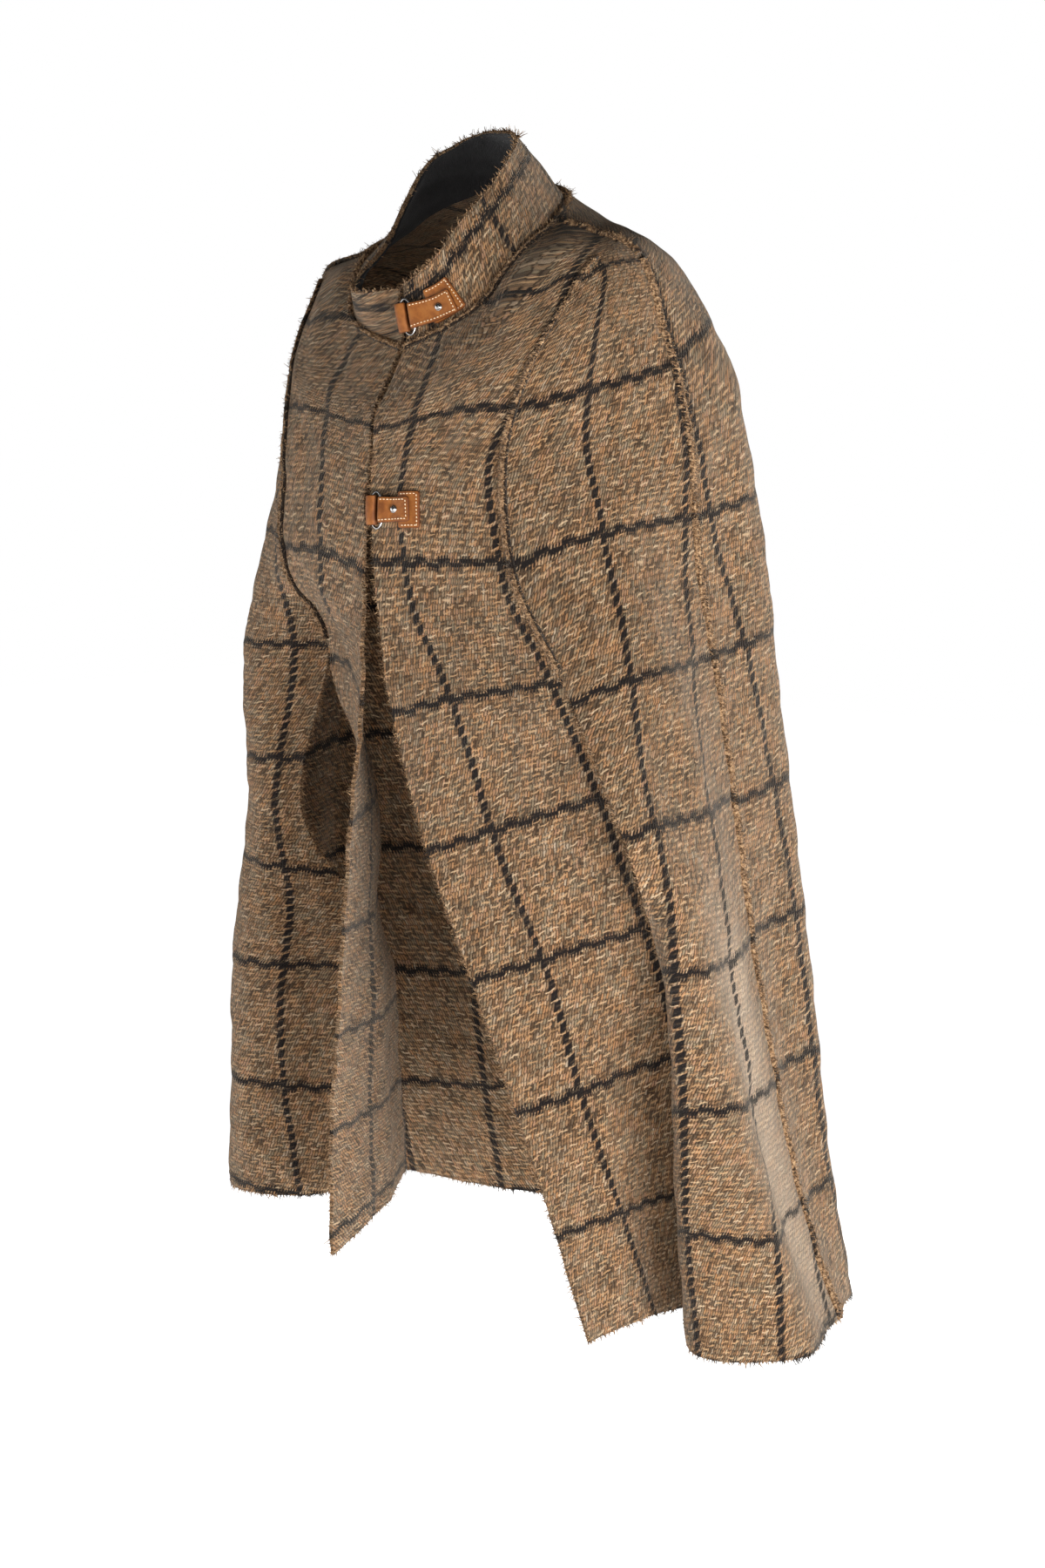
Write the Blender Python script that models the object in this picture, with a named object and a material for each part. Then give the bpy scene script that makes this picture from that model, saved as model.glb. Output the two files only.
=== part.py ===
"""Worn cape of heavy checked wool with a stand collar, arm slits and two leather fastenings.

Metres, +Z up. The origin is the middle of the neck where the collar is sewn on, the front faces -Y
and the garment's own left is +X. The cloth is a wall through sections from the collar to the hem,
cut into panels at the seams, and everything sewn on is made from the panels' points, moved out.
"""
import math

import bmesh
import bpy
import numpy as np

# Cloth and seams
CLOTH = 0.003
FACING = 0.0015
SEAM_GAP = 0.0003
RIDGE_WIDTH = 0.009
RIDGE_HEIGHT = 0.0028
SHARP_ANGLE = 50.0

# Sections of the worn cape in millimetres, one row for each, from the collar seam down.
# Columns are the stations round the figure: x, y, z at the front edge, the princess seam,
# the roll beside it, the crest over the arm, the shoulder and side seam, the blade and the middle back.
LEFT_SECTIONS = [
    # edge, princess, roll, crest,
    # side, blade, back
    ((7, -66, -65), (58, -50, -40), (72, -36, -18), (79, -18, 3),
     (78, 18, 25), (58, 58, 50), (0, 78, 62)),
    ((3, -85, -100), (82, -62, -54), (99, -45, -27), (108, -25, -2),
     (115, 20, 18), (84, 88, 28), (0, 110, 34)),
    ((2, -97, -122), (104, -66, -70), (126, -43, -44), (140, -16, -18),
     (159, 20, -1), (133, 98, -3), (0, 138, -31)),
    ((4, -103, -150), (115, -66, -90), (136, -47, -75), (152, -24, -60),
     (178, 25, -52), (181, 97, -70), (0, 154, -90)),
    ((6, -107, -195), (110, -79, -155), (134, -62, -151), (156, -38, -146),
     (199, 30, -140), (195, 102, -135), (0, 170, -160)),
    ((16, -110, -270), (124, -84, -235), (154, -72, -233), (182, -50, -230),
     (204, 34, -225), (205, 110, -215), (0, 182, -250)),
    ((31, -112, -342), (170, -85, -309), (196, -75, -313), (217, -50, -316),
     (218, 42, -318), (215, 117, -313), (0, 194, -340)),
    ((63, -113, -435), (229, -88, -420), (244, -66, -428), (252, -34, -434),
     (233, 52, -440), (226, 125, -430), (0, 205, -430)),
    ((112, -109, -548), (222, -22, -550), (248, -50, -557), (270, -16, -560),
     (246, 62, -555), (236, 135, -565), (0, 217, -565)),
    ((158, -94, -682), (220, -6, -675), (254, -48, -688), (290, -8, -690),
     (268, 75, -685), (243, 146, -695), (0, 228, -690)),
    ((193, -80, -797), (218, 10, -787), (264, -42, -803), (316, 5, -806),
     (300, 92, -800), (252, 165, -806), (0, 242, -805)),
]
RIGHT_SECTIONS = [
    ((1, -66, -65), (-58, -50, -45), (-72, -36, -25), (-79, -18, -4),
     (-78, 18, 19), (-58, 58, 47), (0, 78, 62)),
    ((-3, -85, -100), (-80, -60, -62), (-96, -43, -36), (-106, -23, -12),
     (-112, 20, 7), (-82, 87, 24), (0, 110, 34)),
    ((-2, -97, -122), (-102, -64, -78), (-121, -40, -52), (-135, -12, -28),
     (-155, 20, -10), (-130, 97, -7), (0, 138, -31)),
    ((0, -103, -150), (-113, -65, -96), (-131, -43, -82), (-148, -20, -68),
     (-176, 25, -58), (-180, 97, -74), (0, 154, -90)),
    ((0, -107, -195), (-108, -78, -157), (-129, -58, -153), (-151, -34, -148),
     (-196, 30, -142), (-194, 102, -137), (0, 170, -160)),
    ((-2, -108, -270), (-112, -74, -235), (-141, -66, -232), (-166, -47, -230),
     (-200, 34, -225), (-203, 110, -215), (0, 182, -250)),
    ((-8, -107, -345), (-105, -35, -303), (-150, -55, -307), (-185, -43, -310),
     (-215, 42, -318), (-215, 117, -313), (0, 194, -340)),
    ((-21, -105, -432), (-135, -34, -435), (-162, -44, -433), (-190, -34, -431),
     (-236, 52, -440), (-226, 125, -430), (0, 205, -430)),
    ((-34, -102, -546), (-90, 12, -540), (-140, -28, -544), (-204, -36, -546),
     (-256, 58, -544), (-238, 135, -560), (0, 217, -565)),
    ((-48, -99, -660), (-97, 36, -647), (-148, -16, -653), (-215, -27, -655),
     (-278, 66, -656), (-248, 146, -675), (0, 228, -690)),
    ((-57, -90, -774), (-105, 55, -742), (-158, -10, -762), (-226, -17, -764),
     (-300, 80, -766), (-258, 165, -783), (0, 242, -805)),
]
# The collar's top edge over the same stations; the right half has slumped a little outward
COLLAR_TOP_LEFT = ((4, -66, -22), (30, -61, -3), (45, -49, 23), (53, -26, 48),
                   (54, -5, 69), (43, 22, 89), (0, 42, 98))
COLLAR_TOP_RIGHT = ((-1, -67, -25), (-50, -66, -25), (-58, -48, -12), (-53, -25, 10),
                    (-52, 0, 45), (-43, 23, 79), (0, 42, 98))

# Stations counted round the ring from the left front edge to the right front edge
LEFT_EDGE = 0.0
RIGHT_EDGE = 12.0
PRINCESS = {"left": 1, "right": 11}
SIDE = {"left": 4, "right": 8}

# Section rows where the seams start, branch and end
LAST_ROW = 10.0
BRANCH_ROW = 1.55
SIDE_TIP_ROW = 1.60
PRINCESS_ROW = 4.0
PRINCESS_BEND = 3.0
CREASE_START_ROW = 6.0
CREASE_FULL_ROW = 7.2
SLIT_TOP_ROW = 6.0
SLIT_END_ROW = 8.0
# How far the front panel's slit edge stands from the side panel's at the middle of the slit, millimetres
SLIT_PARTING = {"left": (-24, 26, 0), "right": (52, 28, 15)}

# Soft flutes that fall down the back: station, first row, depth at the hem and width in stations
FLUTES = [
    ("left back flute", 5.05, 3.5, 0.012, 0.30),
    ("left back hollow", 5.55, 4.0, -0.014, 0.30),
    ("middle flute", 6.10, 4.5, 0.017, 0.30),
    ("right back hollow", 6.58, 4.0, -0.012, 0.28),
    ("right back flute", 7.10, 3.5, 0.013, 0.30),
]
FIGURE_AXIS_Y = 0.06

# Rows and columns of the panels' points
PANEL_ROWS = [0.0, 0.05, 0.25, 0.55, 0.9, 1.2, 1.4, BRANCH_ROW, SIDE_TIP_ROW, 1.8, 2.0, 2.25, 2.5, 2.75,
              3.0, 3.33, 3.67, 4.0, 4.33, 4.67, 5.0, 5.33, 5.67, 6.0, 6.25, 6.5, 6.75, 7.0, 7.25, 7.5, 7.75,
              8.0, 8.33, 8.67, 9.0, 9.33, 9.67, 10.0]
PANEL_COLUMNS = {"front_left": 8, "front_right": 8, "side_left": 12, "side_right": 12, "back": 23}
COLLAR_RISE = 4
# Short steps, in stations, rows or metres, that measure slopes and spacings on the cloth
SLOPE_STEP = 0.004
PLACE_STEP = 0.01
ROW_STEP = 0.05
SQUARE_STEP = 0.006
LEATHER_ROWS = 4

# First and last rows of the raised allowances
COLLAR_RIDGE_ROWS = (0.05, 0.25)
SHOULDER_RIDGE_ROWS = (0.4, 2.0)
SIDE_RIDGE_ROWS = (2.25, LAST_ROW)
PRINCESS_RIDGE_ROWS = (2.0, 5.7)

# Leather fastenings on the left front, metres across from its edge: section row, the strap's and the
# patch's drop for each metre across, ring, patch start and end, strap end and stud
FASTENINGS = {
    "collar_tab": (-0.42, 0.17, 0.06, 0.0036, 0.0220, 0.0475, 0.0450, 0.0320),
    "chest_tab": (3.90, 0.35, 0.36, 0.0074, 0.0268, 0.0455, 0.0375, 0.0245),
}
PATCH_TALL = 0.0275
STRAP_TALL = 0.0187
LOOP_TALL = 0.0215
# Where the strap and the loop lie across from the middle of the ring
STRAP_START = 0.0017
STRAP_RAMP = (0.0072, 0.0150)
LOOP_ACROSS = (-0.0093, 0.0002)
LEATHER = 0.0018
LEATHER_LIFT = 0.0006
STUD_RADIUS = 0.0030
STUD_RIMS = ((1.0, 0.0), (1.0, 0.0008), (0.78, 0.0018), (0.4, 0.0024))
STUD_HEIGHT = 0.0026
STUD_SIDES = 12
RING_WIRE = 0.0011
RING_HALF_WIDTH = 0.0055
RING_CLEAR = 0.0013
RING_TURNS = 20
RING_SIDES = 6
RING_HALF_HEIGHT = 0.0135

# Colours as linear red, green, blue, then roughness and metallic
FINISHES = {
    "tweed": ((0.27, 0.17, 0.09), 0.95, 0.0),
    "facing": ((0.012, 0.012, 0.013), 0.9, 0.0),
    "leather": ((0.42, 0.15, 0.04), 0.5, 0.0),
    "metal": ((0.45, 0.44, 0.43), 0.25, 1.0),
}


def clear_scene():
    for thing in list(bpy.data.objects):
        bpy.data.objects.remove(thing, do_unlink=True)


def material(kind):
    found = bpy.data.materials.get(kind)
    if found:
        return found
    colour, roughness, metallic = FINISHES[kind]
    made = bpy.data.materials.new(kind)
    made.use_nodes = True
    shader = made.node_tree.nodes["Principled BSDF"]
    shader.inputs["Base Color"].default_value = (*colour, 1.0)
    shader.inputs["Roughness"].default_value = roughness
    shader.inputs["Metallic"].default_value = metallic
    return made


def full_ring(left, right):
    """Stations of one section from the left edge round the back to the right edge, in metres."""
    return np.array(list(left) + list(right[-2::-1]), float) / 1000.0


RINGS = np.array([full_ring(left, right) for left, right in zip(LEFT_SECTIONS, RIGHT_SECTIONS)])
COLLAR_TOP = full_ring(COLLAR_TOP_LEFT, COLLAR_TOP_RIGHT)


def ease(start, end, value):
    share = min(max((value - start) / (end - start), 0.0), 1.0)
    return share * share * (3.0 - 2.0 * share)


def stations_at(row, on_front):
    """Stations of the ring at any row: a cubic through the sections, or the collar above the seam."""
    if row < 0.0:
        return RINGS[0] + (COLLAR_TOP - RINGS[0]) * -row
    row = min(row, LAST_ROW)
    index = min(int(row), int(LAST_ROW) - 1)
    share = row - index
    near = RINGS[index]
    far = RINGS[index + 1]
    before = RINGS[index - 1] if index > 0 else 2.0 * near - far
    after = RINGS[index + 2] if index + 2 <= LAST_ROW else 2.0 * far - near
    ring = 0.5 * (2.0 * near + (far - before) * share
                  + (2.0 * before - 5.0 * near + 4.0 * far - after) * share ** 2
                  + (3.0 * near - before - 3.0 * far + after) * share ** 3)
    if on_front and SLIT_TOP_ROW < row < SLIT_END_ROW:
        parted = math.sin(math.pi * (row - SLIT_TOP_ROW) / (SLIT_END_ROW - SLIT_TOP_ROW)) ** 2
        for side, station in PRINCESS.items():
            ring[station] += np.array(SLIT_PARTING[side]) / 1000.0 * parted
    return ring


def ring_slopes(ring, row):
    """Slope of the cloth before and after each station; the princess seams crease below the chest."""
    step = np.diff(ring, axis=0)
    chord = np.linalg.norm(step, axis=1) ** 0.75
    slope = np.empty_like(ring)
    for index in range(1, len(ring) - 1):
        slope[index] = (step[index] / chord[index] + step[index - 1] / chord[index - 1]
                        - (ring[index + 1] - ring[index - 1]) / (chord[index - 1] + chord[index]))
    slope[0] = 1.5 * step[0] / chord[0] - 0.5 * slope[1]
    slope[-1] = 1.5 * step[-1] / chord[-1] - 0.5 * slope[-2]
    before = slope.copy()
    after = slope.copy()
    crease = ease(CREASE_START_ROW, CREASE_FULL_ROW, row)
    for index in PRINCESS.values():
        free_before = 1.5 * step[index - 1] / chord[index - 1] - 0.5 * slope[index - 1]
        free_after = 1.5 * step[index] / chord[index] - 0.5 * slope[index + 1]
        before[index] = (1.0 - crease) * slope[index] + crease * free_before
        after[index] = (1.0 - crease) * slope[index] + crease * free_after
    return before, after, chord


def ring_points(row, places, on_front=False):
    """Points of the cloth's outer face at one row, for places counted in stations round the ring."""
    ring = stations_at(row, on_front)
    before, after, chord = ring_slopes(ring, row)
    places = np.clip(np.asarray(places, float), LEFT_EDGE, RIGHT_EDGE)
    index = np.minimum(places.astype(int), len(ring) - 2)
    share = (places - index)[:, None]
    points = (ring[index] * (2.0 * share ** 3 - 3.0 * share ** 2 + 1.0)
              + after[index] * chord[index][:, None] * (share ** 3 - 2.0 * share ** 2 + share)
              + ring[index + 1] * (3.0 * share ** 2 - 2.0 * share ** 3)
              + before[index + 1] * chord[index][:, None] * (share ** 3 - share ** 2))
    outward = points - np.array([0.0, FIGURE_AXIS_Y, 0.0])
    outward[:, 2] = 0.0
    outward /= np.linalg.norm(outward, axis=1)[:, None]
    for _, station, first_row, depth, width in FLUTES:
        swell = depth * ease(first_row, LAST_ROW, row) * np.exp(-((places - station) / width) ** 2)
        points += outward * swell[:, None]
    return points


def ring_normals(row, places, on_front=False, low=LEFT_EDGE, high=RIGHT_EDGE):
    """Outward normals of the cloth; low and high keep the slope on one side of a creased seam."""
    places = np.asarray(places, float)
    top_row = -1.0 if row < 0.0 else 0.0
    end_row = 0.0 if row < 0.0 else LAST_ROW
    across = (ring_points(row, np.clip(places + SLOPE_STEP, low, high), on_front)
              - ring_points(row, np.clip(places - SLOPE_STEP, low, high), on_front))
    down = (ring_points(min(row + SLOPE_STEP, end_row), places, on_front)
            - ring_points(max(row - SLOPE_STEP, top_row), places, on_front))
    normal = np.cross(down, across)
    return normal / np.linalg.norm(normal, axis=1)[:, None]


def princess_place(row, side):
    """The princess seam leaves the shoulder seam and curves down the chest to its own station."""
    share = min(max((row - BRANCH_ROW) / (PRINCESS_ROW - BRANCH_ROW), 0.0), 1.0)
    bent = 1.0 - (1.0 - share) ** PRINCESS_BEND
    return SIDE[side] + (PRINCESS[side] - SIDE[side]) * bent


def panel_bounds(name, row):
    """First and last place of a panel on the ring at one row, counted from left to right."""
    if name == "front_left":
        return LEFT_EDGE, princess_place(row, "left")
    if name == "side_left":
        return princess_place(row, "left"), SIDE["left"]
    if name == "back":
        return SIDE["left"], SIDE["right"]
    if name == "side_right":
        return SIDE["right"], princess_place(row, "right")
    return princess_place(row, "right"), RIGHT_EDGE


def closed_wall(name, outer, inner, kind):
    """A solid between two grids of points, closed round its rim."""
    rows, columns = outer.shape[:2]
    count = rows * columns
    faces = []
    for r in range(rows - 1):
        for c in range(columns - 1):
            near = r * columns + c
            far = near + columns + 1
            for side_corner in (far - 1, near + 1):
                faces.append((near, side_corner, far))
                faces.append((near + count, side_corner + count, far + count))
    rim = [c for c in range(columns)]
    rim += [r * columns + columns - 1 for r in range(1, rows)]
    rim += [(rows - 1) * columns + c for c in range(columns - 2, -1, -1)]
    rim += [r * columns for r in range(rows - 2, 0, -1)]
    for here, there in zip(rim, rim[1:] + rim[:1]):
        first = min(here, there)
        last = max(here, there)
        faces.append((first, last, last + count))
        faces.append((first, last + count, first + count))
    points = np.concatenate([outer.reshape(-1, 3), inner.reshape(-1, 3)])
    return solid(name, points, faces, kind)


def solid(name, points, faces, kind):
    mesh = bpy.data.meshes.new(name)
    mesh.from_pydata([tuple(point) for point in points], [], faces)
    tidy = bmesh.new()
    tidy.from_mesh(mesh)
    bmesh.ops.recalc_face_normals(tidy, faces=tidy.faces)
    tidy.to_mesh(mesh)
    tidy.free()
    mesh.shade_smooth()
    mesh.set_sharp_from_angle(angle=math.radians(SHARP_ANGLE))
    mesh.materials.append(material(kind))
    made = bpy.data.objects.new(name, mesh)
    bpy.context.collection.objects.link(made)
    return made


def panel_grid(name, columns):
    """Rows, outer points and normals of one cut panel, half a seam gap in from its seams."""
    on_front = name.startswith("front")
    rows = [row for row in PANEL_ROWS if row >= SIDE_TIP_ROW or not name.startswith("side")]
    points = []
    normals = []
    for row in rows:
        low, high = panel_bounds(name, row)
        creased = row > CREASE_START_ROW
        ends = ring_points(row, [low, low + PLACE_STEP, high - PLACE_STEP, high], on_front)
        low_step = PLACE_STEP * 0.5 * SEAM_GAP / np.linalg.norm(ends[1] - ends[0])
        high_step = PLACE_STEP * 0.5 * SEAM_GAP / np.linalg.norm(ends[3] - ends[2])
        places = np.linspace(low + low_step, high - high_step, columns)
        slope_low = low if creased else LEFT_EDGE
        slope_high = high if creased else RIGHT_EDGE
        points.append(ring_points(row, places, on_front))
        normals.append(ring_normals(row, places, on_front, slope_low, slope_high))
    return np.array(rows), np.array(points), np.array(normals)


def collar_grid():
    """Rows, outer points and normals of the stand collar, from its top edge down to its seam."""
    seams_at = (LEFT_EDGE, SIDE["left"], SIDE["right"], RIGHT_EDGE)
    counts = (PANEL_COLUMNS["front_left"], PANEL_COLUMNS["back"], PANEL_COLUMNS["front_right"])
    runs = [np.linspace(low, high, count) for low, high, count in zip(seams_at, seams_at[1:], counts)]
    places = np.unique(np.concatenate(runs))
    last_row = -SEAM_GAP / np.linalg.norm(COLLAR_TOP[0] - RINGS[0][0])
    rows = np.linspace(-1.0, last_row, COLLAR_RISE)
    points = np.array([ring_points(row, places) for row in rows])
    normals = np.array([ring_normals(row, places) for row in rows])
    return rows, points, normals


def grid_row(grid, row):
    """Points and normals across a panel at any row, on the panel's own flat faces."""
    rows, points, normals = grid
    index = int(np.clip(np.searchsorted(rows, row) - 1, 0, len(rows) - 2))
    share = (row - rows[index]) / (rows[index + 1] - rows[index])
    line = points[index] + (points[index + 1] - points[index]) * share
    lean = normals[index] + (normals[index + 1] - normals[index]) * share
    return line, lean / np.linalg.norm(lean, axis=1)[:, None]


def cloth_solid(name, grid, depth, thickness, kind):
    """A wall of cloth under a panel's points, from one depth to another."""
    _, points, normals = grid
    return closed_wall(name, points - depth * normals, points - (depth + thickness) * normals, kind)


def seam_strip(name, lines):
    """Raised raw allowance over rows of points and normals, just clear of the cloth."""
    under = np.array([points + SEAM_GAP * normals for points, normals in lines])
    over = np.array([points + RIDGE_HEIGHT * normals for points, normals in lines])
    return closed_wall(name, over, under, "tweed")


def beside_seam(grid, row, at_end):
    """Seam point and a point half a ridge into the panel, with their normals."""
    points, normals = grid_row(grid, row)
    if at_end:
        points = points[::-1]
        normals = normals[::-1]
    share = 0.5 * RIDGE_WIDTH / np.linalg.norm(points[1] - points[0])
    inner = points[0] + (points[1] - points[0]) * share
    lean = normals[0] + (normals[1] - normals[0]) * share
    return [points[0], inner], [normals[0], lean / np.linalg.norm(lean)]


def ridge(name, first_row, last_row, before_at, after_grid):
    """Allowance along a seam between the panel before it, by row, and the panel after it."""
    lines = []
    for row in PANEL_ROWS:
        if row < first_row or row > last_row:
            continue
        seam, lean = beside_seam(before_at(row), row, True)
        other, other_lean = beside_seam(after_grid(row), row, False)
        points = np.array([seam[1], seam[0], other[0], other[1]])
        normals = np.array([lean[1], lean[0], other_lean[0], other_lean[1]])
        lines.append((points, normals))
    return seam_strip(name, lines)


def collar_ridge(grids):
    """Raised allowance of the collar seam, on the panels just below the collar."""
    lines = []
    for row in COLLAR_RIDGE_ROWS:
        parts = [grid_row(grids[name], row) for name in ("front_left", "back", "front_right")]
        points = np.concatenate([part[0] for part in parts])
        normals = np.concatenate([part[1] for part in parts])
        lines.append((points, normals))
    return seam_strip("seam_collar", lines)


def inset(grid, row, across):
    """Point and normal of the cloth a distance in from the left front edge, or out from it if negative."""
    points, normals = grid_row(grid, row)
    if across <= 0.0:
        into = (points[1] - points[0]) / np.linalg.norm(points[1] - points[0])
        return points[0] + into * across, normals[0]
    run = np.concatenate([[0.0], np.cumsum(np.linalg.norm(np.diff(points, axis=0), axis=1))])
    point = np.array([np.interp(across, run, points[:, axis]) for axis in range(3)])
    normal = np.array([np.interp(across, run, normals[:, axis]) for axis in range(3)])
    return point, normal / np.linalg.norm(normal)


def row_above(grid, row, across, climb):
    """The row that lies a climb along the cloth above another, a distance in from the left front edge."""
    rows = grid[0]
    line = np.array([inset(grid, each, across)[0] for each in rows])
    run = np.concatenate([[0.0], np.cumsum(np.linalg.norm(np.diff(line, axis=0), axis=1))])
    return float(np.interp(np.interp(row, rows, run) - climb, run, rows))


def on_front(place, across, tall, lift):
    """A point on a piece that lies square on the left front, along a line that drops across the cloth."""
    grid, row, drop = place
    above = inset(grid, row - ROW_STEP, across)[0]
    below = inset(grid, row + ROW_STEP, across)[0]
    rise = (above - below) / np.linalg.norm(above - below)
    along = inset(grid, row, across + SQUARE_STEP)[0] - inset(grid, row, across)[0] - drop * SQUARE_STEP * rise
    lean = rise @ along / np.linalg.norm(along)
    upright = math.sqrt(1.0 - lean * lean)
    moved_across = across - tall * lean / upright
    moved_row = row_above(grid, row, moved_across, tall / upright - drop * moved_across)
    point, normal = inset(grid, moved_row, moved_across)
    return point + normal * lift


def front_frame(place, across, lift):
    """A point on the left front with the directions along the piece there, up it and out from the cloth."""
    along = on_front(place, across + SQUARE_STEP, 0.0, lift) - on_front(place, across - SQUARE_STEP, 0.0, lift)
    up = on_front(place, across, SQUARE_STEP, lift) - on_front(place, across, -SQUARE_STEP, lift)
    along /= np.linalg.norm(along)
    out = np.cross(along, up)
    out /= np.linalg.norm(out)
    return on_front(place, across, 0.0, lift), along, np.cross(out, along), out


def leather_slab(name, place, across, tall, lift_at, columns=6):
    """Leather that follows the cloth beside the front edge; lift_at gives its underside's height."""
    under = []
    over = []
    for height in np.linspace(0.5 * tall, -0.5 * tall, LEATHER_ROWS):
        steps = np.linspace(across[0], across[1], columns)
        under.append([on_front(place, step, height, lift_at(step)) for step in steps])
        over.append([on_front(place, step, height, lift_at(step) + LEATHER) for step in steps])
    return closed_wall(name, np.array(over), np.array(under), "leather")


def ring_link(name, place, across):
    """Oval wire ring between the strap and the loop, lying flat on the cloth by the front edge."""
    centre, along, up, out = front_frame(place, across, RING_WIRE + 2.0 * SEAM_GAP)
    points = []
    for turn in range(RING_TURNS):
        angle = 2.0 * math.pi * turn / RING_TURNS
        spoke = along * math.cos(angle) * RING_HALF_WIDTH + up * math.sin(angle) * RING_HALF_HEIGHT
        radial = along * math.cos(angle) + up * math.sin(angle)
        for corner in range(RING_SIDES):
            roll = 2.0 * math.pi * corner / RING_SIDES
            points.append(centre + spoke + RING_WIRE * (radial * math.cos(roll) + out * math.sin(roll)))
    faces = []
    for turn in range(RING_TURNS):
        for corner in range(RING_SIDES):
            here = turn * RING_SIDES + corner
            beside = turn * RING_SIDES + (corner + 1) % RING_SIDES
            ahead = ((turn + 1) % RING_TURNS) * RING_SIDES
            faces.append((here, beside, ahead + (corner + 1) % RING_SIDES, ahead + corner))
    return solid(name, points, faces, "metal")


def stud(name, place, across, lift):
    """Domed stud through the strap: rims of a share of the radius and a height, then its top."""
    foot, along, up, out = front_frame(place, across, lift)
    points = [foot]
    faces = []
    for share, height in STUD_RIMS:
        for corner in range(STUD_SIDES):
            angle = 2.0 * math.pi * corner / STUD_SIDES
            spoke = along * math.cos(angle) + up * math.sin(angle)
            points.append(foot + spoke * STUD_RADIUS * share + out * height)
    points.append(foot + out * STUD_HEIGHT)
    last = len(points) - 1
    top = 1 + (len(STUD_RIMS) - 1) * STUD_SIDES
    for corner in range(STUD_SIDES):
        beside = (corner + 1) % STUD_SIDES
        faces.append((0, 1 + beside, 1 + corner))
        for low in range(1, top, STUD_SIDES):
            faces.append((low + corner, low + beside, low + STUD_SIDES + beside, low + STUD_SIDES + corner))
        faces.append((top + corner, top + beside, last))
    return solid(name, points, faces, "metal")


def fastening(name, grid):
    """Patch and strap with its stud, and the ring that joins the strap to a loop from under the right edge."""
    row, strap_drop, patch_drop, ring_at, patch_start, patch_end, strap_end, stud_at = FASTENINGS[name]
    strap_place = (grid, row, strap_drop)
    patch_place = (grid, row, patch_drop)
    strap_lift = LEATHER_LIFT + LEATHER + SEAM_GAP
    ring_top = 2.0 * RING_WIRE + 3.0 * SEAM_GAP + RING_CLEAR
    loop_start, loop_end = (ring_at + step for step in LOOP_ACROSS)

    def patch_height(across):
        return LEATHER_LIFT

    def strap_height(across):
        return strap_lift + (ring_top - strap_lift) * (1.0 - ease(*STRAP_RAMP, across - ring_at))

    def loop_height(across):
        share = 2.0 * (across - loop_start) / (loop_end - loop_start) - 1.0
        return LEATHER_LIFT + (ring_top - LEATHER_LIFT) * math.sqrt(max(1.0 - share ** 4, 0.0))

    leather_slab(name + "_patch", patch_place, (patch_start, patch_end), PATCH_TALL, patch_height)
    leather_slab(name + "_strap", strap_place, (ring_at + STRAP_START, strap_end), STRAP_TALL, strap_height, 9)
    leather_slab(name + "_loop", strap_place, (loop_start, loop_end), LOOP_TALL, loop_height, 8)
    ring_link(name + "_ring", strap_place, ring_at)
    stud(name + "_stud", strap_place, stud_at, strap_lift + LEATHER + SEAM_GAP)


def seams(grids):
    """Raised allowances on the outside of every seam that shows."""

    def front_or_side(side):
        return lambda row: grids[("front_" if row <= BRANCH_ROW else "side_") + side]

    def always(name):
        return lambda row: grids[name]

    left = front_or_side("left")
    right = front_or_side("right")
    back = always("back")
    ridge("seam_shoulder_left", *SHOULDER_RIDGE_ROWS, left, back)
    ridge("seam_shoulder_right", *SHOULDER_RIDGE_ROWS, back, right)
    ridge("seam_side_left", *SIDE_RIDGE_ROWS, left, back)
    ridge("seam_side_right", *SIDE_RIDGE_ROWS, back, right)
    ridge("seam_princess_left", *PRINCESS_RIDGE_ROWS, always("front_left"), always("side_left"))
    ridge("seam_princess_right", *PRINCESS_RIDGE_ROWS, always("side_right"), always("front_right"))
    collar_ridge(grids)


def main():
    clear_scene()
    grids = {name: panel_grid(name, columns) for name, columns in PANEL_COLUMNS.items()}
    collar = collar_grid()
    for name, grid in grids.items():
        cloth_solid(name, grid, 0.0, CLOTH, "tweed")
    cloth_solid("collar", collar, 0.0, CLOTH, "tweed")
    cloth_solid("collar_facing", collar, CLOTH + SEAM_GAP, FACING, "facing")
    seams(grids)
    fastening("collar_tab", collar)
    fastening("chest_tab", grids["front_left"])


main()
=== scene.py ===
"""Looks of a worn cape: checked wool shells, raw frayed seams, leather fastenings, light and camera.

Metres, +Z up, in the part's own frame: the neck is at the origin, the front faces -Y and the garment's left
is +X.
"""
import math

import bpy
import numpy as np
from mathutils import Matrix, Vector


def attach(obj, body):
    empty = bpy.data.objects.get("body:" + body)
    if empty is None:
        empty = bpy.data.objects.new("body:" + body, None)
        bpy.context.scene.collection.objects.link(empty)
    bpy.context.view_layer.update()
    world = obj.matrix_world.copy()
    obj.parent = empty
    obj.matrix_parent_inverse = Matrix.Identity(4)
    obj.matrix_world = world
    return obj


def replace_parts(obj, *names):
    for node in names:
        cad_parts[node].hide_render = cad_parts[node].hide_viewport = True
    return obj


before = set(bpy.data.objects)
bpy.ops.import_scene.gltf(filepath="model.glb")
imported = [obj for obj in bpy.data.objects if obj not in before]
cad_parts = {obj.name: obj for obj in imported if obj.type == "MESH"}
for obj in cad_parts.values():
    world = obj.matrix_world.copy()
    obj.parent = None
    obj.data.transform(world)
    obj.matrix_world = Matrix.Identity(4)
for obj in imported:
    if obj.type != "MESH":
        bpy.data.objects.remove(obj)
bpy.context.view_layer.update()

# Cloth and seams, as in the part
CLOTH = 0.003
FACING = 0.0015
SEAM_GAP = 0.0003
RIDGE_HEIGHT = 0.0028

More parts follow.
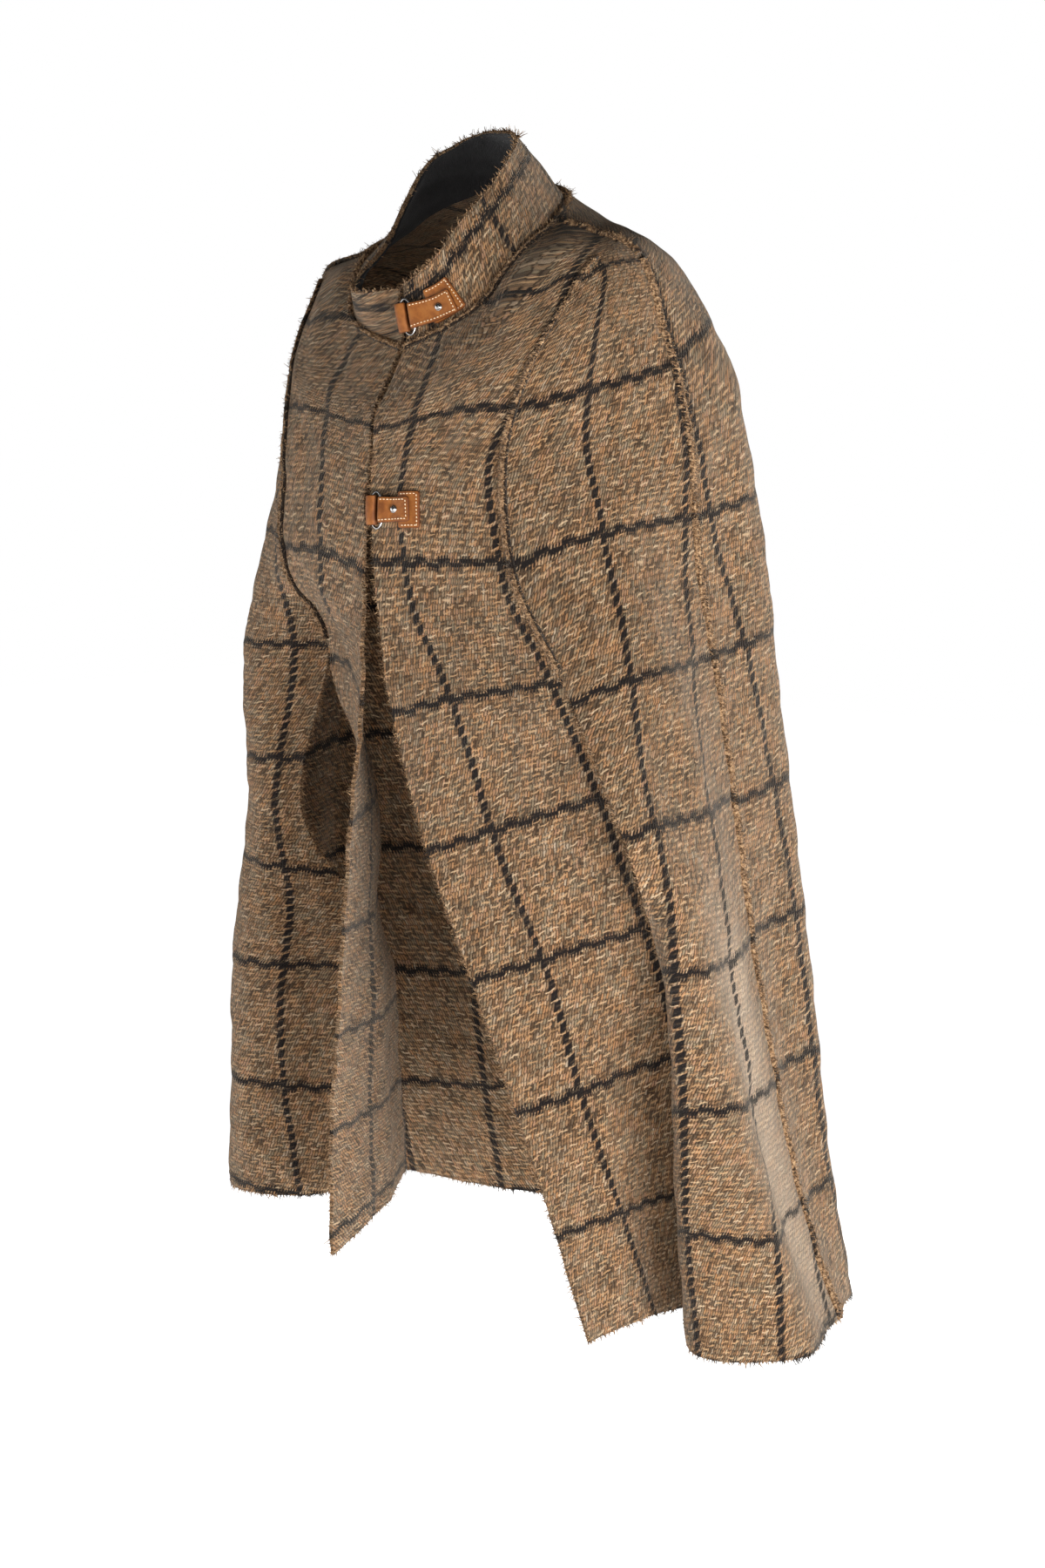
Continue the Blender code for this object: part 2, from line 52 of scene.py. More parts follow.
# Sections in millimetres from the collar seam to the hem, x, y, z at each station, as in the part
LEFT_SECTIONS = [
    # edge, princess, roll, crest,
    # side, blade, back
    ((7, -66, -65), (58, -50, -40), (72, -36, -18), (79, -18, 3),
     (78, 18, 25), (58, 58, 50), (0, 78, 62)),
    ((3, -85, -100), (82, -62, -54), (99, -45, -27), (108, -25, -2),
     (115, 20, 18), (84, 88, 28), (0, 110, 34)),
    ((2, -97, -122), (104, -66, -70), (126, -43, -44), (140, -16, -18),
     (159, 20, -1), (133, 98, -3), (0, 138, -31)),
    ((4, -103, -150), (115, -66, -90), (136, -47, -75), (152, -24, -60),
     (178, 25, -52), (181, 97, -70), (0, 154, -90)),
    ((6, -107, -195), (110, -79, -155), (134, -62, -151), (156, -38, -146),
     (199, 30, -140), (195, 102, -135), (0, 170, -160)),
    ((16, -110, -270), (124, -84, -235), (154, -72, -233), (182, -50, -230),
     (204, 34, -225), (205, 110, -215), (0, 182, -250)),
    ((31, -112, -342), (170, -85, -309), (196, -75, -313), (217, -50, -316),
     (218, 42, -318), (215, 117, -313), (0, 194, -340)),
    ((63, -113, -435), (229, -88, -420), (244, -66, -428), (252, -34, -434),
     (233, 52, -440), (226, 125, -430), (0, 205, -430)),
    ((112, -109, -548), (222, -22, -550), (248, -50, -557), (270, -16, -560),
     (246, 62, -555), (236, 135, -565), (0, 217, -565)),
    ((158, -94, -682), (220, -6, -675), (254, -48, -688), (290, -8, -690),
     (268, 75, -685), (243, 146, -695), (0, 228, -690)),
    ((193, -80, -797), (218, 10, -787), (264, -42, -803), (316, 5, -806),
     (300, 92, -800), (252, 165, -806), (0, 242, -805)),
]
# The right half shares the left's last station
RIGHT_SECTIONS = [
    ((1, -66, -65), (-58, -50, -45), (-72, -36, -25), (-79, -18, -4),
     (-78, 18, 19), (-58, 58, 47)),
    ((-3, -85, -100), (-80, -60, -62), (-96, -43, -36), (-106, -23, -12),
     (-112, 20, 7), (-82, 87, 24)),
    ((-2, -97, -122), (-102, -64, -78), (-121, -40, -52), (-135, -12, -28),
     (-155, 20, -10), (-130, 97, -7)),
    ((0, -103, -150), (-113, -65, -96), (-131, -43, -82), (-148, -20, -68),
     (-176, 25, -58), (-180, 97, -74)),
    ((0, -107, -195), (-108, -78, -157), (-129, -58, -153), (-151, -34, -148),
     (-196, 30, -142), (-194, 102, -137)),
    ((-2, -108, -270), (-112, -74, -235), (-141, -66, -232), (-166, -47, -230),
     (-200, 34, -225), (-203, 110, -215)),
    ((-8, -107, -345), (-105, -35, -303), (-150, -55, -307), (-185, -43, -310),
     (-215, 42, -318), (-215, 117, -313)),
    ((-21, -105, -432), (-135, -34, -435), (-162, -44, -433), (-190, -34, -431),
     (-236, 52, -440), (-226, 125, -430)),
    ((-34, -102, -546), (-90, 12, -540), (-140, -28, -544), (-204, -36, -546),
     (-256, 58, -544), (-238, 135, -560)),
    ((-48, -99, -660), (-97, 36, -647), (-148, -16, -653), (-215, -27, -655),
     (-278, 66, -656), (-248, 146, -675)),
    ((-57, -90, -774), (-105, 55, -742), (-158, -10, -762), (-226, -17, -764),
     (-300, 80, -766), (-258, 165, -783)),
]
# The collar's top edge over the same stations; the right half has slumped
COLLAR_TOP_LEFT = ((4, -66, -22), (30, -61, -3), (45, -49, 23), (53, -26, 48),
                   (54, -5, 69), (43, 22, 89), (0, 42, 98))
COLLAR_TOP_RIGHT = ((-1, -67, -25), (-50, -66, -25), (-58, -48, -12), (-53, -25, 10),
                    (-52, 0, 45), (-43, 23, 79))

# Stations counted round the ring from the left front edge to the right front edge
LEFT_EDGE = 0.0
RIGHT_EDGE = 12.0
PRINCESS = {"left": 1, "right": 11}
SIDE = {"left": 4, "right": 8}

# Section rows where the seams start, branch and end, and how the princess seam bends
LAST_ROW = 10.0
BRANCH_ROW = 1.55
SIDE_TIP_ROW = 1.60
PRINCESS_ROW = 4.0
PRINCESS_BEND = 3.0
CREASE_START_ROW = 6.0
CREASE_FULL_ROW = 7.2
SLIT_TOP_ROW = 6.0
SLIT_END_ROW = 8.0
# How far the front panel's slit edge stands from the side panel's at the middle of the slit, millimetres
SLIT_PARTING = {"left": (-24, 26, 0), "right": (52, 28, 15)}

# Soft flutes that fall down the back: name, station, first row, depth at the hem and width in stations, and
# the axis that they swell out from
FLUTES = [
    ("left back flute", 5.05, 3.5, 0.012, 0.30),
    ("left back hollow", 5.55, 4.0, -0.014, 0.30),
    ("middle flute", 6.10, 4.5, 0.017, 0.30),
    ("right back hollow", 6.58, 4.0, -0.012, 0.28),
    ("right back flute", 7.10, 3.5, 0.013, 0.30),
]
FIGURE_AXIS_Y = 0.06

# Fine rows in each step between sections, fine columns of the pieces, and the steps that slopes and gaps are
# measured with
ROW_STEPS = (10, 10, 12, 14, 22, 22, 28, 30, 34, 32)
PANEL_COLUMNS = {"front_left": 42, "front_right": 42, "side_left": 72, "side_right": 72, "back": 150}
COLLAR_COLUMNS = 150
COLLAR_ROWS = 16
SLOPE_STEP = 0.004
PLACE_STEP = 0.01

# How each piece is cut from the checked cloth: the place on the ring that its grain follows, and how far the
# grain leans from it in degrees
GRAIN = {"front_left": (0.0, 0.0), "side_left": (4.0, 3.0), "back": (6.0, 0.0), "side_right": (8.0, 5.0),
         "front_right": (12.0, 0.0)}
# A place past the piece's last one draws the line on beyond its seam
WARP_LINES = {
    "front_left": [
        (0.0, [(0.25, 0.0, 0.50), (1, 2.66, 0.26), (2, 4.57, 0.22), (3, 5.99, 0.32), (4, 6.95, 0.33),
               (5, 7.75, 0.34), (6, 8.52, 0.35), (7, 9.26, 0.47), (7.95, 10.0, 0.65)]),
        (0.085, [(-1.70, 0.0, 6.00), (-0.73, 1.15, 4.15), (0, 1.75, 2.78), (1, 3.44, 1.01), (2, 4.85, 0.91),
                 (3, 6.02, 0.91), (4, 6.78, 0.95), (5, 7.55, 0.96), (6, 8.32, 0.99), (7, 9.18, 1.00),
                 (7.95, 9.95, 1.00)]),
    ],
    "side_left": [
        (0.0, [(-0.1, 1.80, 3.36), (1, 3.50, 2.95), (2, 4.69, 3.07), (3, 5.91, 2.87), (4, 6.85, 2.07),
               (5, 7.69, 2.07), (6, 8.47, 2.10), (7, 9.18, 2.03), (7.95, 10.0, 2.00)]),
        (0.085, [(1, 3.38, 3.98), (2, 4.63, 3.88), (3, 5.82, 3.69), (4, 6.75, 3.38), (5, 7.65, 3.32),
                 (6, 8.49, 3.45), (7, 9.25, 3.08), (7.95, 10.0, 2.84)]),
    ],
    "back": [
        (0.0, [(0, 1.80, 4.05), (1, 3.30, 4.06), (2, 4.63, 4.21), (3, 5.75, 4.47), (4, 6.71, 4.66),
               (5, 7.50, 4.80), (6, 8.32, 4.86), (7, 9.13, 4.90), (8.0, 10.0, 4.92)]),
    ],
    "side_right": [
        (0.0, [(1, 3.40, 10.15), (2, 4.72, 10.40), (3, 5.96, 10.45), (4, 6.68, 10.40), (5, 7.43, 10.05),
               (6, 8.17, 9.72), (7, 9.13, 9.69), (7.95, 9.95, 9.90)]),
    ],
    "front_right": [
        (0.0, [(0.10, 0.10, 11.33), (1, 2.71, 11.57), (2, 4.61, 11.56), (3, 5.95, 11.52), (4, 6.95, 11.58),
               (5, 7.72, 11.62), (6, 8.45, 11.64), (7, 9.14, 11.65), (8.2, 10.0, 11.65)]),
        (0.048, [(0.30, 0.0, 12.0), (1, 2.14, 12.0), (2, 4.53, 12.0), (3, 5.83, 12.0), (4, 6.92, 12.0),
                 (5, 7.69, 12.0), (6, 8.42, 12.0), (7, 9.10, 12.0), (8.2, 10.0, 12.0)]),
    ],
}
# The collar's weft line lies this far below its top edge, and its warp line at this place
COLLAR_WEFT = 0.0125
COLLAR_WARP = 2.75
# Painted sheen at folds: piece, first row and place, last row and place, strength and half width
PAINTED_SHEEN_BANDS = [
    ("side_left", 6.8, 3.22, 10.0, 3.80, 0.95, 0.030),
    ("side_right", 7.4, 8.6, 10.0, 8.5, 0.6, 0.030),
    ("back", 8.0, 5.6, 10.0, 5.6, 0.5, 0.040),
]
# The check's repeat across and down
CHECK_WIDTH = 0.085
CHECK_HEIGHT = 0.106
# A place of the cloth that no line of the check crosses
OFF_CHECK = (0.25 * CHECK_WIDTH, 0.25 * CHECK_HEIGHT)

# Soft creases: piece, first row and place, last row and place, height of the ridge or, below 0, depth of the
# trough in metres, and half its width
CREASES = [
    ("side_left", 6.6, 2.2, 10.0, 3.2, 0.007, 0.022),
    ("side_left", 7.0, 3.1, 10.0, 3.75, -0.008, 0.020),
    ("side_left", 4.4, 2.6, 6.9, 2.9, -0.004, 0.020),
    ("side_left", 5.0, 3.3, 8.2, 3.5, 0.004, 0.018),
    ("side_left", 2.6, 3.0, 4.6, 2.0, 0.003, 0.016),
    ("front_left", 5.2, 0.85, 6.9, 0.35, -0.003, 0.020),
    ("front_left", 6.4, 0.25, 9.2, 0.55, 0.004, 0.022),
    ("front_left", 7.6, 0.75, 10.0, 0.70, -0.004, 0.020),
    ("front_left", 2.2, 0.35, 3.8, 0.55, -0.0025, 0.016),
    ("front_right", 2.0, 11.6, 4.2, 11.35, -0.003, 0.016),
    ("front_right", 4.6, 11.45, 6.6, 11.7, 0.003, 0.018),
    ("front_right", 7.2, 11.55, 10.0, 11.45, -0.004, 0.018),
    ("side_right", 4.2, 9.6, 6.4, 10.2, -0.005, 0.022),
    ("side_right", 5.4, 9.2, 8.4, 9.4, 0.005, 0.024),
    ("side_right", 7.2, 10.2, 10.0, 9.9, -0.006, 0.022),
    ("side_right", 7.8, 9.2, 10.0, 8.9, 0.005, 0.022),
    ("back", 2.2, 4.7, 5.6, 4.9, 0.005, 0.026),
    ("back", 3.4, 5.4, 9.0, 5.35, -0.005, 0.028),
    ("back", 5.5, 5.8, 10.0, 5.85, 0.006, 0.026),
    ("back", 4.6, 6.4, 9.6, 6.5, -0.005, 0.028),
    ("back", 2.6, 7.2, 6.2, 7.0, 0.005, 0.026),
    ("back", 6.2, 7.5, 10.0, 7.55, -0.006, 0.024),
    ("back", 6.8, 4.35, 10.0, 4.45, -0.005, 0.022),
]
# Points along each crease or band of painted sheen
CREASE_POINTS = 28
# Small unevenness of the hanging cloth: height and length of each wave
UNEVEN = ((0.0011, 0.062), (0.0006, 0.031))

# Frayed yarn: length, spread, radius and yarns for each metre of edge; how deep it is rooted, and its points
FRAY_EDGE = (0.0036, 0.45, 0.00048, 2400)
FRAY_SEAM = (0.0032, 0.65, 0.00040, 2000)
FRAY_ROOT = 0.0006
FRAY_RINGS = 4
# Sides of the tubes: frayed yarn, loops over seams and stitches
FRAY_SIDES = 3
LOOP_SIDES = 4
STITCH_SIDES = 6
# Stitches beside raw edges and on leather
EDGE_STITCH = {"inset": 0.0075, "length": 0.0034, "pitch": 0.0052, "radius": 0.00034}
LEATHER_STITCH = {"inset": 0.0021, "length": 0.0018, "pitch": 0.0027, "radius": 0.00042}

# Loops of yarn over a raised allowance: loops for each metre, radius, points along each and its tilt
SEAM_LOOPS = (820, 0.00058, 7, 0.0016)
# Tufts of long yarn ends where seams end: length, spread, radius and number, how far along they stand, and
# the name, row, place and way out of each on the left
TUFT = (0.0055, 0.85, 0.00045, 18)
TUFT_WIDTH = 0.03
TUFTS = [
    ("collar_back", -0.98, 5.10, (0.5, 0.2, 0.8)),
    ("collar_seam", 0.10, 4.98, (0.6, 0.1, 0.8)),
    ("shoulder", 1.70, 4.02, (0.4, -0.2, 0.8)),
]

# Raised allowances: width that shows, points on each half, roughness, how far they sink in the cloth,
# step along the seam, rows tried to find it, and their first and last rows
RIDGE_SHOWN = 0.0068
RIDGE_POINTS = 6
RIDGE_ROUGH = 0.20
RIDGE_SINK = 0.0002
RIDGE_STEP = 0.0022
ROW_TRIES = 400
SHOULDER_RIDGE_ROWS = (0.4, 2.0)
SIDE_RIDGE_ROWS = (2.1, LAST_ROW)
PRINCESS_RIDGE_ROWS = (1.75, 5.9)
COLLAR_RIDGE_ROWS = (0.03, 0.16)

# Leather fastenings on the left front, metres across from its edge, as in the part: section row, the
# strap's and the patch's drop for each metre across, ring, patch start and end, strap end and stud
FASTENINGS = {
    "collar_tab": (-0.42, 0.17, 0.06, 0.0036, 0.0220, 0.0475, 0.0450, 0.0320),
    "chest_tab": (3.90, 0.35, 0.36, 0.0074, 0.0268, 0.0455, 0.0375, 0.0245),
}
PATCH_TALL = 0.0275
STRAP_TALL = 0.0187
LOOP_TALL = 0.0215
# Where the strap and the loop lie across from the middle of the ring, and how the strap rolls over the ring
STRAP_START = 0.0017
STRAP_RAMP = (0.0072, 0.0150)
STRAP_ROLL = 0.0024
LOOP_ACROSS = (-0.0093, 0.0002)
LOOP_ROUND = 2.8
LOOP_CORNER = 0.0008
# The stretch of the left front where fastenings are placed: metres across, rows up and down, steps of each,
# and the step in from the edge that shows the way out of it
FRONT_SPAN = (-0.016, 0.072)
FRONT_ROWS = 1.2
FRONT_STEPS = (45, 97)
EDGE_STEP = 0.004
# Thickness of the leather, its lift off the cloth, the stud, and the ring with its clearance
LEATHER = 0.0018
LEATHER_LIFT = 0.0006
STUD_RADIUS = 0.0030
RING_WIRE = 0.0011
RING_HALF_WIDTH = 0.0055
RING_HALF_HEIGHT = 0.0135
RING_CLEAR = 0.0013
# Points along a stitch, the step that shows which way its line runs, and points of such a line
STITCH_RINGS = 5
STITCH_STEP = 0.0005
STITCH_POINTS = 24
# Leather: its grid, rounded corners, softened rim and how thick the rim is
LEATHER_ROWS = 19
LEATHER_COLUMNS = 31
LEATHER_CORNER = 0.0022
LEATHER_SOFT = 0.0007
LEATHER_RIM = 0.45
# Round forms: steps round the ring, round its wire and round the stud
RING_TURNS = 72
RING_SIDES = 14
STUD_SIDES = 32
# Stud profile from its foot to its top: shares of its radius outward and upward
STUD_PROFILE = [(0.94, 0.0), (1.0, 0.06), (1.0, 0.16), (0.95, 0.24), (0.84, 0.27), (0.80, 0.30),
                (0.78, 0.38), (0.70, 0.50), (0.55, 0.60), (0.36, 0.67), (0.16, 0.70), (0.01, 0.705)]

# The camera, from the photograph: where it stands, and where the neck and the horizon fall in the frame
FRAME_WIDTH = 1200.0
FRAME_HEIGHT = 1800.0
FOCAL_PIXELS = 3404.0
CAMERA_AZIMUTH = 40.0
CAMERA_DISTANCE = 2.30
CAMERA_Z = -0.107
NECK_PIXEL_X = 525.0
HORIZON_PIXEL_Y = 458.0
SENSOR = 36.0
FLOOR_Z = -1.44

# Cut cloth, in metres and square metres
SHEETS = {
    # piece: width, length, area
    "front_left": (0.16, 0.88, 0.107),
    "front_right": (0.16, 0.86, 0.100),
    "side_left": (0.26, 0.82, 0.131),
    "side_right": (0.26, 0.80, 0.142),
    "back": (0.74, 0.90, 0.550),
    "collar": (0.48, 0.06, 0.0239),
    "collar_facing": (0.48, 0.06, 0.0224),
}
# Edges of a piece as an axis of its grid and the end of it, and the raw edges that show
EDGES = {"top": (0, 0), "hem": (0, -1), "low": (1, 0), "high": (1, -1)}
RAW_EDGES = [("front_left", "low"), ("front_right", "high"), ("collar", "top"), ("collar", "low"),
             ("collar", "high")]
RAW_EDGES += [(name, "hem") for name in ("front_left", "side_left", "back", "side_right", "front_right")]
SLIT_EDGES = [("front_left", "high"), ("side_left", "low"), ("side_right", "high"), ("front_right", "low")]

# Studio: floor, world light from above and below the horizon, how softly the two meet, and lamps
FLOOR_HALF = 9.0
FLOOR_COLOUR = (0.86, 0.86, 0.86, 1.0)
FLOOR_GLOW = 1.17
WORLD_ABOVE = 0.06
WORLD_BELOW = 0.36
WORLD_SHOWN = 1.0
HORIZON_SOFT = 0.30
WORLD_COLOUR = (1.0, 1.0, 1.0, 1.0)
LIGHTS = [
    # name, place, target, size, power, colour
    ("key", (2.28, -0.74, -0.85), (0.05, 0.0, -0.50), (1.3, 1.3), 76.0, (1.0, 0.985, 0.965)),
    ("front", (0.80, -2.75, -0.70), (0.0, 0.0, -0.50), (1.6, 1.4), 14.0, (1.0, 0.99, 0.98)),
    ("fill", (-2.10, -1.60, -0.50), (0.0, 0.0, -0.45), (1.6, 1.6), 24.0, (0.985, 0.99, 1.0)),
    ("behind", (-1.40, 2.30, -0.35), (0.0, 0.0, -0.40), (1.6, 1.6), 22.0, (1.0, 0.99, 0.98)),
]

# Yarn colours, linear: black check, warp strokes in warm and in cool places, gaps between strokes, weft
# floats, cut raw yarn, painted shade in the groove beside a seam and a pale painted sheen at folds
INK = (0.010, 0.008, 0.008, 1.0)
WARM = [(0.0, (0.056, 0.032, 0.018)), (0.22, (0.165, 0.092, 0.047)), (0.45, (0.285, 0.166, 0.088)),
        (0.62, (0.375, 0.190, 0.084)), (0.76, (0.345, 0.195, 0.118)), (0.90, (0.430, 0.285, 0.163)),
        (1.0, (0.530, 0.400, 0.262))]
COOL = [(0.0, (0.042, 0.029, 0.019)), (0.25, (0.140, 0.094, 0.058)), (0.50, (0.235, 0.165, 0.102)),
        (0.70, (0.215, 0.166, 0.104)), (0.85, (0.310, 0.226, 0.150)), (1.0, (0.440, 0.350, 0.255))]
GAP = (0.032, 0.019, 0.011, 1.0)
FLOATS = [(0.0, (0.330, 0.178, 0.080)), (0.5, (0.430, 0.250, 0.120)), (0.85, (0.490, 0.315, 0.170)),
          (1.0, (0.580, 0.425, 0.270))]
RAW = [(0.36, (0.022, 0.013, 0.008)), (0.45, (0.130, 0.072, 0.036)), (0.53, (0.340, 0.195, 0.098)),
       (0.62, (0.540, 0.365, 0.205))]
GROOVE_SHADE = (0.010, 0.007, 0.006, 1.0)
PAINTED_SHEEN_COLOUR = (0.500, 0.405, 0.308, 1.0)
SHEEN_TINT = (0.95, 0.86, 0.74, 1.0)
# Colours of the facing, leather, its burnished rim, metal and threads with their shade, linear
BLACK_CLOTH = [(0.3, (0.003, 0.003, 0.003)), (0.7, (0.009, 0.008, 0.009))]
TAN = [(0.28, (0.150, 0.043, 0.008)), (0.5, (0.250, 0.080, 0.014)), (0.72, (0.340, 0.125, 0.026))]
BURNISHED = (0.085, 0.022, 0.006, 1.0)
NICKEL = [(0.3, (0.26, 0.25, 0.24)), (0.7, (0.50, 0.49, 0.48))]
LIGHT_THREAD = ((0.88, 0.70, 0.48, 1.0), (0.60, 0.42, 0.24, 1.0))
BROWN_THREAD = ((0.20, 0.115, 0.055, 1.0), (0.09, 0.05, 0.025, 1.0))

# Weave in millimetres: rows of weft, the strokes of warp between them with their slant, and the weft's
# floats with their repeat and rise
WEFT_ROW = 4.4
STROKE_PITCH = 2.3
STROKE_SLANT = -0.42
FLOAT_PITCH = 10.4
FLOAT_RISE = 0.16
# Smooth steps of the materials: where each starts and ends, then its values there unless they are 0 and 1
STROKE_EDGE = (0.46, 0.20)
STROKE_ENDS = (0.52, 0.30, 0.45, 1.0)
FLOAT_HALF = (0.42, 0.24)
FLOAT_THICK = (0.85, 0.28)
FLOAT_LUCK = (0.05, 0.50, 0.30, 0.85)
COOL_YARN = (0.52, 0.78)
WORN_INK = (0.22, 0.36)
# The step of the painted shade across a raised allowance
GROOVE_SHADE_STEP = (0.36, 0.62, 0.0, 0.96)
THREAD_TWIST = (0.35, 0.65)
RIM_DARK = (0.0012, 0.0001, 0.0, 0.8)
LEATHER_ROUGH = (0.3, 0.7, 0.46, 0.62)
METAL_ROUGH = (0.3, 0.7, 0.14, 0.28)
# Noises of the materials
NOISES = {
    # kind: scale, detail, roughness
    "wander": (90.0, 1.0, 0.5),
    "fuzz": (1100.0, 3.0, 0.75),
    "wobble": (0.45, 2.0, 0.5),
    "rows": (0.16, 2.0, 0.5),
    "patches": (0.055, 3.0, 0.5),
    "cool yarn": (0.075, 2.0, 0.5),
    "cut yarn": (430.0, 4.0, 0.75),
    "thread": (2600.0, 1.0, 0.5),
    "facing": (240.0, 3.0, 0.5),
    "leather": (130.0, 4.0, 0.6),
    "grain": (1700.0, 3.0, 0.6),
    "wear": (420.0, 3.0, 0.5),
}
# Black warp marks: half width, half height, repeat and slant; black weft comb: length of a step, its rise,
# half thickness of its core, reach and repeat of its teeth
LOZENGE = (2.55, 3.55, 8.6, -0.30)
COMB = (20.8, 1.3, 1.75, 4.2, 2.5)
# How far the weave wanders, in millimetres, and the facing's weave in radians for each metre
WEAVE_WANDER = 2.6
FACING_WEAVE = 4200.0
MM = 1000.0

random = np.random.default_rng(7)


def full_ring(left, right):
    """Stations of one section from the left edge round the back to the right edge, in metres."""
    return np.array([*left, *right[::-1]], float) / MM


RINGS = np.array([full_ring(left, right) for left, right in zip(LEFT_SECTIONS, RIGHT_SECTIONS)])
COLLAR_TOP = full_ring(COLLAR_TOP_LEFT, COLLAR_TOP_RIGHT)


def ease(start, end, value):
    """A smooth step from 0 to 1 as the value goes from start to end."""
    share = np.clip((value - start) / (end - start), 0.0, 1.0)
    return share * share * (3.0 - 2.0 * share)


def hermite(start, start_slope, end, end_slope, share):
    """A cubic from start to end with its slopes there."""
    return (start * (2.0 * share ** 3 - 3.0 * share ** 2 + 1.0)
            + start_slope * (share ** 3 - 2.0 * share ** 2 + share)
            + end * (3.0 * share ** 2 - 2.0 * share ** 3)
            + end_slope * (share ** 3 - share ** 2))


def unit(vectors):
    return vectors / np.maximum(np.linalg.norm(vectors, axis=-1, keepdims=True), 1e-9)


def run_along(points, axis=0):
    """Length run from the first point of a line to each of its points, or along each line of a grid."""
    steps = np.linalg.norm(np.diff(points, axis=axis), axis=-1)
    return np.insert(np.cumsum(steps, axis=axis), 0, 0.0, axis=axis)


def sampled(where, run, values):
    """Vectors at places along a run of them."""
    return np.stack([np.interp(where, run, column) for column in values.T], axis=-1)


def stations_at(row, on_front):
    """Stations of the ring at any row: a cubic through the sections, or the collar above the seam."""
    if row < 0.0:
        return RINGS[0] + (COLLAR_TOP - RINGS[0]) * -row
    row = min(row, LAST_ROW)
    index = min(int(row), int(LAST_ROW) - 1)
    share = row - index
    near = RINGS[index]
    far = RINGS[index + 1]
    before = RINGS[index - 1] if index > 0 else 2.0 * near - far
    after = RINGS[index + 2] if index + 2 <= LAST_ROW else 2.0 * far - near
    ring = 0.5 * (2.0 * near + (far - before) * share
                  + (2.0 * before - 5.0 * near + 4.0 * far - after) * share ** 2
                  + (3.0 * near - before - 3.0 * far + after) * share ** 3)
    if on_front and SLIT_TOP_ROW < row < SLIT_END_ROW:
        parted = math.sin(math.pi * (row - SLIT_TOP_ROW) / (SLIT_END_ROW - SLIT_TOP_ROW)) ** 2
        for side, station in PRINCESS.items():
            ring[station] += np.array(SLIT_PARTING[side]) / MM * parted
    return ring


def ring_slopes(ring, row):
    """Slope of the cloth before and after each station; the princess seams crease below the chest."""
    step = np.diff(ring, axis=0)
    chord = np.linalg.norm(step, axis=1) ** 0.75
    slope = np.empty_like(ring)
    for index in range(1, len(ring) - 1):
        slope[index] = (step[index] / chord[index] + step[index - 1] / chord[index - 1]
                        - (ring[index + 1] - ring[index - 1]) / (chord[index - 1] + chord[index]))
    slope[0] = 1.5 * step[0] / chord[0] - 0.5 * slope[1]
    slope[-1] = 1.5 * step[-1] / chord[-1] - 0.5 * slope[-2]
    before = slope.copy()
    after = slope.copy()
    crease = ease(CREASE_START_ROW, CREASE_FULL_ROW, row)
    for index in PRINCESS.values():
        free_before = 1.5 * step[index - 1] / chord[index - 1] - 0.5 * slope[index - 1]
        free_after = 1.5 * step[index] / chord[index] - 0.5 * slope[index + 1]
        before[index] = (1.0 - crease) * slope[index] + crease * free_before
        after[index] = (1.0 - crease) * slope[index] + crease * free_after
    return before, after, chord


def ring_points(row, places, on_front=False):
    """Points of the cloth's outer face at one row, for places counted in stations round the ring."""
    ring = stations_at(row, on_front)
    before, after, chord = ring_slopes(ring, row)
    places = np.clip(np.asarray(places, float), LEFT_EDGE, RIGHT_EDGE)
    index = np.minimum(places.astype(int), len(ring) - 2)
    size = chord[index][:, None]
    points = hermite(ring[index], after[index] * size, ring[index + 1], before[index + 1] * size,
                     (places - index)[:, None])
    outward = unit((points - (0.0, FIGURE_AXIS_Y, 0.0)) * (1.0, 1.0, 0.0))
    for _, station, first_row, depth, width in FLUTES:
        swell = depth * ease(first_row, LAST_ROW, row) * np.exp(-((places - station) / width) ** 2)
        points += outward * swell[:, None]
    return points


def ring_normals(row, places, on_front=False, low=LEFT_EDGE, high=RIGHT_EDGE):
    """Outward normals of the cloth; low and high keep the slope on one side of a creased seam."""
    places = np.asarray(places, float)
    top_row = -1.0 if row < 0.0 else 0.0
    end_row = 0.0 if row < 0.0 else LAST_ROW
    across = (ring_points(row, np.clip(places + SLOPE_STEP, low, high), on_front)
              - ring_points(row, np.clip(places - SLOPE_STEP, low, high), on_front))
    down = (ring_points(min(row + SLOPE_STEP, end_row), places, on_front)
            - ring_points(max(row - SLOPE_STEP, top_row), places, on_front))
    return unit(np.cross(down, across))


def princess_place(row, side):
    """The princess seam leaves the shoulder seam and curves down the chest to its own station."""
    share = min(max((row - BRANCH_ROW) / (PRINCESS_ROW - BRANCH_ROW), 0.0), 1.0)
    bent = 1.0 - (1.0 - share) ** PRINCESS_BEND
    return SIDE[side] + (PRINCESS[side] - SIDE[side]) * bent


def panel_bounds(name, row):
    """First and last place of a panel on the ring at one row, counted from left to right."""
    left = princess_place(row, "left")
    right = princess_place(row, "right")
    bounds = {"front_left": (LEFT_EDGE, left), "side_left": (left, SIDE["left"]),
              "back": (SIDE["left"], SIDE["right"]), "side_right": (SIDE["right"], right),
              "front_right": (right, RIGHT_EDGE)}
    return bounds[name]


def fine_rows(first_row=0.0):
    runs = [np.linspace(index, index + 1, steps, endpoint=False) for index, steps in enumerate(ROW_STEPS)]
    rows = np.concatenate(runs + [[LAST_ROW]])
    return np.concatenate([[first_row], rows[rows > first_row + SLOPE_STEP]])


